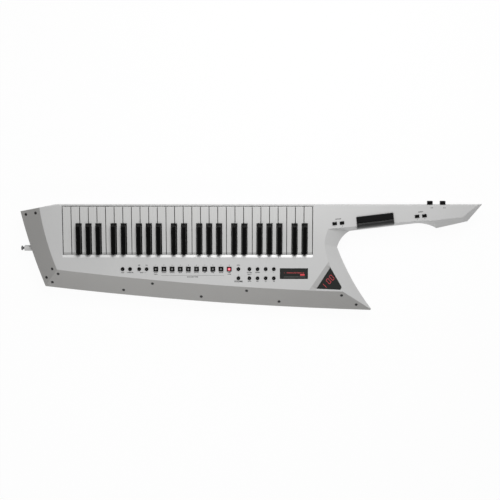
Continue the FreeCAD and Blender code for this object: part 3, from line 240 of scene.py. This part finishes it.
# Painted shade: the recess slope beside the number window is given a darker colour for the shade on it.
slope_shade_mask = within(across_slope, *SLOPE_SPAN) * within(along_slope, *SLOPE_END_SPAN)
slope_shade_mask = slope_shade_mask * within(silver_y, *SLOPE_Y_SPAN) * within(silver_z, SLOPE_LOW_Z, OVER_PANEL_Z, 0.02)
# Painted highlight: the lip behind the keys is given a lighter colour for the light that falls on it.
lip_highlight_mask = within(silver_x, *LIP_X_SPAN) * within(silver_y, *LIP_Y_SPAN)
lip_highlight_mask = lip_highlight_mask * within(silver_z, LIP_LOW_Z, OVER_PANEL_Z, 0.02)
shaded_silver = slope_shade_mask.blend(sprayed_silver, SLOPE_PAINTED_SHADE)
silver_place.feed(silver_shader.inputs["Base Color"], lip_highlight_mask.blend(shaded_silver, LIP_PAINTED_HIGHLIGHT))
dress("top_case", silver_paint)


# The two edge blades are separate mouldings in darker warm grey paint, held by black screws along
# the high end and the bow-shaped edge.
BLADE = (0.375, 0.369, 0.359, 1)
BLADE_DEEP = (0.335, 0.33, 0.321, 1)
blade_paint = spray_paint("blade_paint", BLADE, BLADE_DEEP, 0.46)[0]
for blade in ("left_edge_blade", "long_edge_blade"):
    dress(blade, blade_paint)


def metal(name, colour, roughness, worn_colour):
    """Machined or plated metal with a little wear in cloudy spots."""
    made, shader, place = finish(name, {"Metallic": 0.9})
    wear = place.noise(700.0, 3.0).ramp(0.45, 0.7)
    place.feed(shader.inputs["Base Color"], wear.blend(colour, worn_colour))
    place.feed(shader.inputs["Roughness"], wear * 0.12 + roughness)
    place.feed(shader.inputs["Normal"], place.noise(1500.0, 2.0).bump(0.00002, 0.4))
    return made


black_oxide = metal("black_oxide", (0.05, 0.05, 0.05, 1), 0.38, (0.12, 0.12, 0.12, 1))
for screws in ("edge_blade_screws", "back_screws"):
    dress(screws, black_oxide)


# The rear shell is textured grey plastic with the neck grip, the connector bay and a battery door
# that lifts off. It stands on six rubber feet.
def moulded(name, colour, roughness, grain_scale, grain_depth, shine=0.5):
    """Moulded plastic or rubber with an even spark-eroded grain."""
    made, shader, place = finish(name, {"Specular IOR Level": shine})
    patches = place.noise(25.0, 3.0).ramp(0.35, 0.65)
    lighter = tuple(min(1.0, channel * 1.18 + 0.002) for channel in colour[:3]) + (1,)
    place.feed(shader.inputs["Base Color"], (patches * 0.5).blend(colour, lighter))
    grain = place.noise(grain_scale, 2.0)
    place.feed(shader.inputs["Roughness"], grain * 0.12 + roughness)
    place.feed(shader.inputs["Normal"], grain.bump(grain_depth, 0.7))
    return made


back_plastic = moulded("back_plastic", (0.53, 0.53, 0.525, 1), 0.52, 900.0, 0.00012)
foot_rubber = moulded("foot_rubber", (0.022, 0.022, 0.022, 1), 0.75, 1400.0, 0.00010)
for back_piece in ("bottom_case", "battery_door"):
    dress(back_piece, back_plastic)
dress("rubber_feet", foot_rubber)


# Sockets: a black plate behind the bay's window, with nickel rings around the three audio sockets.
# The strap pins are turned steel in dark chrome, screwed to the rear shell.
socket_plastic = moulded("socket_plastic", (0.018, 0.018, 0.018, 1), 0.42, 1600.0, 0.00006)
nickel = metal("nickel", (0.56, 0.55, 0.52, 1), 0.22, (0.45, 0.44, 0.41, 1))
dress("jack_panel", socket_plastic)
dress("strap_pins", metal("dark_chrome", (0.17, 0.17, 0.175, 1), 0.2, (0.26, 0.26, 0.26, 1)))


def tree_of(name, inputs):
    """A new Geometry Nodes tree with a geometry input and output and named inputs for its sizes."""
    tree = bpy.data.node_groups.new(name, "GeometryNodeTree")
    tree.interface.new_socket("Geometry", in_out="INPUT", socket_type="NodeSocketGeometry")
    tree.interface.new_socket("Geometry", in_out="OUTPUT", socket_type="NodeSocketGeometry")
    for label, kind in inputs.items():
        tree.interface.new_socket(label, in_out="INPUT", socket_type=kind)
    return tree, tree.nodes.new("NodeGroupInput"), tree.nodes.new("NodeGroupOutput")


def linked(tree, kind, settings, inputs):
    """A tree's next node: its type, its settings, and the values or sockets of its inputs."""
    made = tree.nodes.new(kind)
    for name, value in settings.items():
        setattr(made, name, value)
    for name, value in inputs.items():
        if isinstance(value, bpy.types.NodeSocket):
            tree.links.new(value, made.inputs[name])
        else:
            made.inputs[name].default_value = value
    return made


def made_by(tree, name, points, sizes, attributes, body):
    """Runs a tree on points, and leaves its result as a plain mesh piece that rides on a body."""
    cloud = bpy.data.meshes.new(name + "_points")
    cloud.from_pydata(points, [], [])
    for label, (kind, values) in attributes.items():
        layer = cloud.attributes.new(label, kind, "POINT")
        for item, value in zip(layer.data, values):
            if kind == "FLOAT":
                item.value = value
            else:
                item.vector = value
    holder = bpy.data.objects.new(name + "_holder", cloud)
    bpy.context.scene.collection.objects.link(holder)
    modifier = holder.modifiers.new("tree", "NODES")
    modifier.node_group = tree
    for socket in tree.interface.items_tree:
        if socket.in_out == "INPUT" and socket.name in sizes:
            modifier[socket.identifier] = sizes[socket.name]
    graph = bpy.context.evaluated_depsgraph_get()
    mesh = bpy.data.meshes.new_from_object(holder.evaluated_get(graph))
    bpy.data.objects.remove(holder)
    piece = bpy.data.objects.new(name, mesh)
    bpy.context.scene.collection.objects.link(piece)
    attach(piece, body)
    return piece


WELD = 1e-6


def ring_tree():
    """Flat turned rings on points: two circles filled, raised and closed."""
    sizes = {"Outer": "NodeSocketFloat", "Inner": "NodeSocketFloat", "Height": "NodeSocketFloat",
             "Sides": "NodeSocketInt", "Material": "NodeSocketMaterial"}
    tree, start, end = tree_of("turned_rings", sizes)
    rims = [linked(tree, "GeometryNodeCurvePrimitiveCircle", {}, {"Radius": start.outputs[size],
            "Resolution": start.outputs["Sides"]}) for size in ("Outer", "Inner")]
    both = linked(tree, "GeometryNodeJoinGeometry", {}, {})
    for rim in rims:
        tree.links.new(rim.outputs["Curve"], both.inputs["Geometry"])
    flat = linked(tree, "GeometryNodeFillCurve", {}, {"Curve": both.outputs[0]})
    raised = linked(tree, "GeometryNodeExtrudeMesh", {}, {"Mesh": flat.outputs[0], "Individual": False,
                    "Offset Scale": start.outputs["Height"]})
    under = linked(tree, "GeometryNodeFlipFaces", {}, {"Mesh": flat.outputs[0]})
    closed = linked(tree, "GeometryNodeJoinGeometry", {}, {})
    tree.links.new(raised.outputs["Mesh"], closed.inputs["Geometry"])
    tree.links.new(under.outputs["Mesh"], closed.inputs["Geometry"])
    welded = linked(tree, "GeometryNodeMergeByDistance", {}, {"Geometry": closed.outputs[0],
                    "Distance": WELD})
    turn = linked(tree, "GeometryNodeInputNamedAttribute", {"data_type": "FLOAT_VECTOR"}, {"Name": "turn"})
    spread = linked(tree, "GeometryNodeInstanceOnPoints", {}, {"Points": start.outputs["Geometry"],
                    "Instance": welded.outputs[0], "Rotation": turn.outputs["Attribute"]})
    real = linked(tree, "GeometryNodeRealizeInstances", {}, {"Geometry": spread.outputs[0]})
    coated = linked(tree, "GeometryNodeSetMaterial", {}, {"Geometry": real.outputs[0],
                    "Material": start.outputs["Material"]})
    tree.links.new(coated.outputs[0], end.inputs[0])
    return tree


turned_rings = ring_tree()
SOCKET_PLATE_X = 147.05
SOCKET_Z = 15.0
AUDIO_SOCKET_YS = (-74.0, -54.0, -34.0)
RING_RADIUS = 6.6
RING_BORE_RADIUS = 4.75
RING_HEIGHT = 2.2
ring_places = [(SOCKET_PLATE_X * MM, y * MM, SOCKET_Z * MM) for y in AUDIO_SOCKET_YS]
made_by(
    turned_rings, "audio_socket_rings", ring_places,
    {"Outer": RING_RADIUS * MM, "Inner": RING_BORE_RADIUS * MM, "Height": RING_HEIGHT * MM, "Sides": 48,
     "Material": nickel},
    {"turn": ("FLOAT_VECTOR", [(0.0, math.pi / 2, 0.0)] * len(AUDIO_SOCKET_YS))}, "case")


# White keys are smooth white plastic. Their rear end, next to the panel's lip, has a duller step that
# is moulded across every key, and its darker colour is painted shade where the keys pass under the lip.
# Their sides get painted shade, dark up to the rounded front, for the shade in the gaps between keys.
WHITE = (0.56, 0.56, 0.555, 1)
WHITE_WORN = (0.53, 0.53, 0.52, 1)
WHITE_REAR_SHADE = (0.30, 0.30, 0.297, 1)
SIDE_PAINTED_SHADE = (0.03, 0.03, 0.03, 1)
STEP_Y = 12.5 * MM
FRONT_Y = 136.5 * MM
white_gloss = {"Coat Weight": 0.25, "Coat Roughness": 0.2}
white_plastic, white_shader, white_place = finish("white_plastic", white_gloss)
streaks = white_place.stretched((160.0, 14.0, 160.0)).noise(1.0, 3.0).ramp(0.3, 0.75)
smooth_white = (streaks * 0.5).blend(WHITE, WHITE_WORN)
# Painted shade: the keys' rear end is darkened where it passes under the lip; the step is also duller.
rear_step_and_shade = 1 - white_place.axis("Y").ramp(STEP_Y - 0.6 * MM, STEP_Y + 0.6 * MM)
rear_shaded_white = (rear_step_and_shade * 0.75).blend(smooth_white, WHITE_REAR_SHADE)
# Painted shade: the keys' sides are darkened for the shade in the narrow gaps between keys, but not at the
# front face.
behind_front = 1 - white_place.axis("Y").ramp(FRONT_Y - 1.5 * MM, FRONT_Y)
sideways = white_place.node("ShaderNodeTexCoord", output="Normal").axis("X")
gap_shade_mask = (sideways * sideways).ramp(0.02, 0.3) * behind_front
white_place.feed(white_shader.inputs["Base Color"], gap_shade_mask.blend(rear_shaded_white, SIDE_PAINTED_SHADE))
white_place.feed(white_shader.inputs["Roughness"], streaks * 0.08 + rear_step_and_shade * 0.2 + 0.24)
white_place.feed(white_shader.inputs["Normal"], white_place.noise(900.0, 2.0).bump(0.00002, 0.25))
for node in nodes:
    if node.startswith("white_key"):
        dress(node, white_plastic)


# Black keys are satin black plastic with a faint long grain, and a painted highlight makes a band
# at the front slope a little lighter.
KEY_BLACK = (0.0015, 0.0015, 0.0015, 1)
KEY_NOSE_HIGHLIGHT = (0.03, 0.03, 0.03, 1)
black_gloss = {"Specular IOR Level": 0.14, "Coat Weight": 0.04, "Coat Roughness": 0.15}
black_plastic, black_shader, black_place = finish("black_key_plastic", black_gloss)
grain = black_place.stretched((2400.0, 90.0, 2400.0)).noise(1.0, 2.0)
along_black = black_place.axis("Y")
# Painted highlight: a band near the front slope is lighter for the glint on the keys' noses.
nose_highlight = along_black.ramp(80.0 * MM, 88.0 * MM) * (1 - along_black.ramp(88.0 * MM, 92.0 * MM))
black_place.feed(black_shader.inputs["Base Color"], (nose_highlight * 0.08).blend(KEY_BLACK, KEY_NOSE_HIGHLIGHT))
black_place.feed(black_shader.inputs["Roughness"], grain * 0.12 + 0.22)
black_place.feed(black_shader.inputs["Normal"], grain.bump(0.00004, 0.5))
for node in nodes:
    if node.startswith("black_keys"):
        dress(node, black_plastic)


# Panel and neck buttons are satin black plastic. The square ones have a light centre that lamps
# light from below, and the last one of the row is lit red.
button_black = moulded("button_black", (0.002, 0.002, 0.002, 1), 0.32, 1500.0, 0.00002, 0.15)
button_nodes = ("round_buttons", "square_buttons", "middle_buttons", "menu_buttons", "octave_buttons",
                "neck_end_buttons", "edge_buttons")
for node in button_nodes:
    dress(node, button_black)

BUTTON_TOP_Z = 70.4
SQUARE_XS = [-259.0 + 22.25 * index for index in range(10)]
BUTTON_ROW_Y = -33.5
SECOND_ROW_Y = BUTTON_ROW_Y - 25.3
ROUND_XS = (-349.5, -329.3, -304.2, -284.0)
MIDDLE_X = -33.5
GRID_XS = [-3.5 + 22.2 * column for column in range(4)]


def plate_tree():
    """Raised plates with round corners and a softened top edge, on points that turn and scale them."""
    sizes = {"Width": "NodeSocketFloat", "Depth": "NodeSocketFloat", "Corner": "NodeSocketFloat",
             "Height": "NodeSocketFloat", "Softening": "NodeSocketFloat", "Material": "NodeSocketMaterial"}
    tree, start, end = tree_of("raised_plates", sizes)
    outline = linked(tree, "GeometryNodeCurvePrimitiveQuadrilateral", {"mode": "RECTANGLE"},
                     {"Width": start.outputs["Width"], "Height": start.outputs["Depth"]})
    rounded = linked(tree, "GeometryNodeFilletCurve", {"mode": "POLY"}, {"Curve": outline.outputs[0],
                     "Count": 4, "Radius": start.outputs["Corner"]})
    flat = linked(tree, "GeometryNodeFillCurve", {"mode": "NGONS"}, {"Curve": rounded.outputs[0]})
    side = linked(tree, "GeometryNodeExtrudeMesh", {}, {"Mesh": flat.outputs[0], "Individual": False,
                  "Offset Scale": start.outputs["Height"]})
    lift = linked(tree, "GeometryNodeExtrudeMesh", {}, {"Mesh": side.outputs["Mesh"], "Individual": False,
                  "Selection": side.outputs["Top"], "Offset Scale": start.outputs["Softening"]})
    soft = linked(tree, "GeometryNodeScaleElements", {}, {"Geometry": lift.outputs["Mesh"],
                  "Selection": lift.outputs["Top"], "Scale": 0.93})
    under = linked(tree, "GeometryNodeFlipFaces", {}, {"Mesh": flat.outputs[0]})
    closed = linked(tree, "GeometryNodeJoinGeometry", {}, {})
    tree.links.new(soft.outputs[0], closed.inputs["Geometry"])
    tree.links.new(under.outputs["Mesh"], closed.inputs["Geometry"])
    welded = linked(tree, "GeometryNodeMergeByDistance", {}, {"Geometry": closed.outputs[0],
                    "Distance": WELD})
    turn = linked(tree, "GeometryNodeInputNamedAttribute", {"data_type": "FLOAT_VECTOR"}, {"Name": "turn"})
    size = linked(tree, "GeometryNodeInputNamedAttribute", {"data_type": "FLOAT_VECTOR"}, {"Name": "size"})
    spread = linked(tree, "GeometryNodeInstanceOnPoints", {}, {"Points": start.outputs["Geometry"],
                    "Instance": welded.outputs[0], "Rotation": turn.outputs["Attribute"],
                    "Scale": size.outputs["Attribute"]})
    real = linked(tree, "GeometryNodeRealizeInstances", {}, {"Geometry": spread.outputs[0]})
    coated = linked(tree, "GeometryNodeSetMaterial", {}, {"Geometry": real.outputs[0],
                    "Material": start.outputs["Material"]})
    tree.links.new(coated.outputs[0], end.inputs[0])
    return tree


raised_plates = plate_tree()


def plates(name, places, size, corner, height, material, body):
    """Plates of one size on places (x, y, z, turn in degrees, width scale, depth scale)."""
    points = [(x * MM, y * MM, z * MM) for x, y, z, _, _, _ in places]
    turns = [(0.0, 0.0, math.radians(turn)) for _, _, _, turn, _, _ in places]
    scales = [(wide, deep, 1.0) for _, _, _, _, wide, deep in places]
    return made_by(
        raised_plates, name, points,
        {"Width": size[0] * MM, "Depth": size[1] * MM, "Corner": corner * MM, "Height": height * 0.7 * MM,
         "Softening": height * 0.3 * MM, "Material": material},
        {"turn": ("FLOAT_VECTOR", turns), "size": ("FLOAT_VECTOR", scales)}, body)


def lens(name, colour, glow_colour, strength):
    """Milky lens plastic, which a lamp under it may light."""
    made, shader, place = finish(name, {"Emission Strength": strength, "Specular IOR Level": 0.3})
    speckle = place.noise(900.0, 2.0)
    place.feed(shader.inputs["Base Color"], (speckle * 0.2).blend(colour, (0.2, 0.2, 0.2, 1)))
    place.feed(shader.inputs["Roughness"], speckle * 0.1 + 0.3)
    place.feed(shader.inputs["Emission Color"], (speckle * 0.2).blend(glow_colour, (1.0, 0.35, 0.35, 1)))
    return made


grey_lens = lens("grey_lens", (0.17, 0.17, 0.17, 1), (0, 0, 0, 1), 0.0)
rose_lens = lens("rose_lens", (0.5, 0.1, 0.12, 1), (1.0, 0.30, 0.36, 1), 1.0)
red_lens = lens("red_lens", (0.35, 0.01, 0.02, 1), (0.75, 0.03, 0.07, 1), 0.8)
dark_red_lens = lens("dark_red_lens", (0.08, 0.0, 0.005, 1), (0.20, 0.005, 0.015, 1), 0.5)
LENS_SIDE = 4.2
plates("square_button_lenses", [(x, BUTTON_ROW_Y, BUTTON_TOP_Z, 0, 1, 1) for x in SQUARE_XS[:-1]],
       (LENS_SIDE, LENS_SIDE + 1.0), 1.2, 0.25, grey_lens, "square_buttons")
for glow_name, glow_lens, side, rise in (("lit_button_skirt", dark_red_lens, 9.0, 0.0),
                                         ("lit_button_lens", red_lens, 6.8, 0.12),
                                         ("lit_button_centre", rose_lens, 4.2, 0.24)):
    plates(glow_name, [(SQUARE_XS[-1], BUTTON_ROW_Y, BUTTON_TOP_Z + rise, 0, 1, 1)], (side, side),
           side * 0.25, 0.12, glow_lens, "square_buttons")

mark_grey = moulded("mark_grey", (0.12, 0.12, 0.12, 1), 0.5, 1500.0, 0.00002, 0.3)
ROUND_GROUPS = {
    "round_buttons": [(x, BUTTON_ROW_Y) for x in ROUND_XS],
    "middle_buttons": [(MIDDLE_X, BUTTON_ROW_Y), (MIDDLE_X, SECOND_ROW_Y)],
    "menu_buttons": [(x, y) for y in (BUTTON_ROW_Y, SECOND_ROW_Y) for x in GRID_XS],
}
for group, centres in ROUND_GROUPS.items():
    plates(group + "_marks", [(x, y, BUTTON_TOP_Z, 0, 1, 1) for x, y in centres], (1.1, 1.5), 0.5, 0.12,
           mark_grey, group)


# The print on the panel is dark ink: small words over and under the buttons, a number over each
# square one, and a fine bracket line that joins the row of square ones.
INK_HEIGHT = 0.06
INK = (0.02, 0.02, 0.02, 1)
INK_THIN = (0.05, 0.05, 0.05, 1)
ink, ink_shader, ink_place = finish("ink", {"Roughness": 0.55, "Specular IOR Level": 0.2})
ink_place.feed(ink_shader.inputs["Base Color"], ink_place.noise(3000.0).blend(INK, INK_THIN))


def printed(name, words, z, material, body):
    """Words (text, x, y, letter height, turn in degrees) as one flat raised mesh."""
    parts = []
    for text, x, y, high, turn in words:
        curve = bpy.data.curves.new(name, "FONT")
        curve.body = text
        curve.size = high * 1.4 * MM
        curve.extrude = INK_HEIGHT / 2 * MM
        curve.offset = high * 0.06 * MM
        curve.align_x = "CENTER"
        curve.align_y = "CENTER"
        curve.resolution_u = 3
        holder = bpy.data.objects.new(name + "_holder", curve)
        bpy.context.scene.collection.objects.link(holder)
        graph = bpy.context.evaluated_depsgraph_get()
        mesh = bpy.data.meshes.new_from_object(holder.evaluated_get(graph))
        bpy.data.objects.remove(holder)
        place = Matrix.Translation(Vector((x, y, z + INK_HEIGHT / 2)) * MM)
        mesh.transform(place @ Matrix.Rotation(math.radians(turn), 4, "Z"))
        mesh.materials.clear()
        mesh.materials.append(material)
        part = bpy.data.objects.new(name, mesh)
        bpy.context.scene.collection.objects.link(part)
        parts.append(part)
    with bpy.context.temp_override(active_object=parts[0], selected_editable_objects=parts):
        bpy.ops.object.join()
    piece = parts[0]
    piece.name = name
    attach(piece, body)
    return piece


ABOVE_Y = -22.6
UNDER_Y = -43.2
SECOND_UNDER_Y = -48.0
LOWEST_Y = SECOND_ROW_Y - 9.0
BRACKET_Y = -51.2
LETTER = 2.3
GROUP_LETTER = 2.6
LARGE_LETTER = 4.2
SQUARE_WORDS = ("PIANO", "ORGAN", "STRINGS", "BRASS", "SYNTH 1", "SYNTH 2", "PAD", "BASS", "DRUMS", "USER")
squares_middle = (SQUARE_XS[0] + SQUARE_XS[-1]) / 2
small_words = [(str(index + 1), x, ABOVE_Y) for index, x in enumerate(SQUARE_XS)]
small_words += [(word, x, UNDER_Y) for word, x in zip(SQUARE_WORDS, SQUARE_XS)]
small_words += [
    ("FAMILY", SQUARE_XS[0], SECOND_UNDER_Y), ("TONES", SQUARE_XS[-1], SECOND_UNDER_Y),
    ("DUAL", ROUND_XS[0], UNDER_Y), ("TRANSPOSE", ROUND_XS[1], UNDER_Y),
    ("VALUE  - / +", (ROUND_XS[2] + ROUND_XS[3]) / 2, UNDER_Y),
    ("DEC", ROUND_XS[2], ABOVE_Y), ("INC", ROUND_XS[3], ABOVE_Y),
    ("HOLD", MIDDLE_X, ABOVE_Y), ("1", MIDDLE_X, SECOND_ROW_Y + 9.0),
    ("PATTERN", GRID_XS[0], UNDER_Y), ("SELECT", GRID_XS[0], SECOND_UNDER_Y), ("NUMBER", GRID_XS[1], UNDER_Y),
    ("-", GRID_XS[2], UNDER_Y), ("+", GRID_XS[3], UNDER_Y), ("WRITE", GRID_XS[0], LOWEST_Y),
    ("EXIT", GRID_XS[1], LOWEST_Y), ("NO", GRID_XS[2], LOWEST_Y), ("YES", GRID_XS[3], LOWEST_Y),
]
panel_words = [(word, x, y, LETTER, 0) for word, x, y in small_words]
panel_words += [("BANK AND TONE", squares_middle, BRACKET_Y - 4.0, GROUP_LETTER, 0)]
panel_words += [("VOLUME", MIDDLE_X, LOWEST_Y, LARGE_LETTER, 0)]
printed("panel_print", panel_words, PANEL_Z, ink, "case")
bracket_length = SQUARE_XS[-1] - SQUARE_XS[0] - 27.0
plates("panel_lines", [(squares_middle, BRACKET_Y, PANEL_Z, 0, bracket_length, 1)], (1.0, 0.5), 0.1,
       INK_HEIGHT, ink, "case")


# The screen is a smoked acrylic window, let into the panel over its module. It shows a row of red
# characters, a lit red block and a thin grey line.
def smoked(name, colour):
    """Smoked acrylic with a hard gloss and the faintest ripple."""
    window_gloss = {"Coat Weight": 0.25, "Coat Roughness": 0.05, "Specular IOR Level": 0.3}
    made, shader, place = finish(name, window_gloss)
    haze = place.noise(60.0, 3.0)
    place.feed(shader.inputs["Base Color"], (haze * 0.4).blend(colour, (0.03, 0.033, 0.03, 1)))
    place.feed(shader.inputs["Roughness"], haze * 0.06 + 0.12)
    place.feed(shader.inputs["Normal"], haze.bump(0.00005, 0.1))
    return made


smoked_acrylic = smoked("smoked_acrylic", (0.022, 0.023, 0.022, 1))
for window in ("screen_window", "number_window"):
    dress(window, smoked_acrylic)
red_glow = lens("red_glow", (0.20, 0.01, 0.015, 1), (0.60, 0.03, 0.045, 1), 0.7)
dim_red = lens("dim_red", (0.12, 0.01, 0.012, 1), (0.40, 0.03, 0.035, 1), 0.55)
line_grey = moulded("line_grey", (0.14, 0.145, 0.14, 1), 0.4, 900.0, 0.00002, 0.3)
TEXT_LEFT = 90.5
TEXT_RIGHT = 148.5
TEXT_Y = -44.1
SCREEN_LETTER = 3.0
LINE_Y = -55.3
BLOCK_AT = (141.2, -49.3)
BLOCK_SIZE = (12.0, 4.6)
line_place = ((TEXT_LEFT + TEXT_RIGHT) / 2, LINE_Y, PANEL_Z, 0, TEXT_RIGHT - TEXT_LEFT, 1)
plates("screen_line", [line_place], (1.0, 1.0), 0.1, INK_HEIGHT, line_grey, "case")
screen_words = [("1", TEXT_LEFT + 1.5, TEXT_Y, SCREEN_LETTER, 0)]
screen_words += [("STRINGS AND PIANO  64", 122.0, TEXT_Y, SCREEN_LETTER, 0)]
printed("screen_characters", screen_words, PANEL_Z, dim_red, "case")
plates("screen_block", [(*BLOCK_AT, PANEL_Z, 0, 1, 1)], BLOCK_SIZE, 0.3, INK_HEIGHT, red_glow, "case")


# The number display is three slanted digits of lit red strokes in a three-sided window of smoked
# acrylic, which lies lower than the panel.
WINDOW_TOP_Z = 65.0
DIGITS = ((202.9, -80.1, "1"), (213.2, -67.5, "0"), (221.6, -57.6, "0"))
DIGIT_UP = Vector((-0.682, 0.731))
DIGIT_ACROSS = Vector((0.643, 0.766))
DIGIT_HIGH = 14.6
DIGIT_WIDE = 7.2
STROKE_GAP = 0.7
STROKE_WIDE = 1.2
strokes = []
for digit_x, digit_y, digit in DIGITS:
    centre = Vector((digit_x, digit_y))
    up_turn = math.degrees(math.atan2(DIGIT_UP.y, DIGIT_UP.x))
    across_turn = math.degrees(math.atan2(DIGIT_ACROSS.y, DIGIT_ACROSS.x))
    for half in (-1, 1):
        for side in ((-1, 1) if digit == "0" else (0,)):
            at = centre + DIGIT_UP * (half * DIGIT_HIGH / 4) + DIGIT_ACROSS * (side * DIGIT_WIDE / 2)
            strokes.append((at.x, at.y, WINDOW_TOP_Z, up_turn, DIGIT_HIGH / 2 - STROKE_GAP, 1))
        if digit == "0":
            at = centre + DIGIT_UP * (half * DIGIT_HIGH / 2)
            strokes.append((at.x, at.y, WINDOW_TOP_Z, across_turn, DIGIT_WIDE - STROKE_WIDE, 1))
plates("number_strokes", strokes, (1.0, STROKE_WIDE), 0.25, INK_HEIGHT, red_glow, "case")


# Neck controls: a ribbon strip of satin black foil, and beside it a glossy rounded bar that is
# pressed with the thumb.
dress("ribbon_strip", moulded("ribbon_foil", (0.004, 0.004, 0.0043, 1), 0.30, 2400.0, 0.00002, 0.2))
bar_gloss, bar_shader, bar_place = finish("bar_gloss", {"Specular IOR Level": 0.9})
bar_grain = bar_place.stretched((30.0, 500.0, 500.0)).noise(1.0, 2.0)
BAR_BLACK = (0.003, 0.003, 0.003, 1)
BAR_BLACK_WORN = (0.006, 0.006, 0.006, 1)
bar_place.feed(bar_shader.inputs["Base Color"], bar_grain.blend(BAR_BLACK, BAR_BLACK_WORN))
bar_place.feed(bar_shader.inputs["Roughness"], bar_grain * 0.06 + 0.25)
dress("pressure_bar", bar_gloss)
NECK_TURN = 6.9
OCTAVE_PAIR = ((227.8, 91.6), (247.64, 93.3))
END_PAIR = ((450.9, 111.3), (470.74, 113.0))
EDGE_XS = (486.7, 521.4)
BESIDE_BUTTON = (1.1, -8.6)
neck_print = [
    (str(index + 1), x + BESIDE_BUTTON[0], y + BESIDE_BUTTON[1], 2.4, NECK_TURN)
    for index, (x, y) in enumerate(OCTAVE_PAIR + END_PAIR)
]
neck_print += [("OCTAVE", 237.0, 104.0, 2.8, NECK_TURN), ("ASSIGN", 460.0, 123.6, 2.8, NECK_TURN)]
neck_print += [(text, x + 3.0, 134.4, 2.2, 0) for text, x in zip(("10 20", "30 40"), EDGE_XS)]
printed("neck_print", neck_print, PANEL_Z, ink, "case")


# Inside: the keys' black painted steel frame, green boards with parts on them, black display
# modules and the battery cells.
dress("key_chassis", moulded("chassis_paint", (0.02, 0.02, 0.021, 1), 0.5, 600.0, 0.00005, 0.3))
board_green = moulded("board_green", (0.012, 0.10, 0.045, 1), 0.35, 700.0, 0.00008)
for board in ("key_contact_board", "main_board", "switch_boards"):
    dress(board, board_green)
dress("display_modules", socket_plastic)
dress("battery_pack", metal("cell_can", (0.30, 0.29, 0.26, 1), 0.35, (0.22, 0.21, 0.19, 1)))
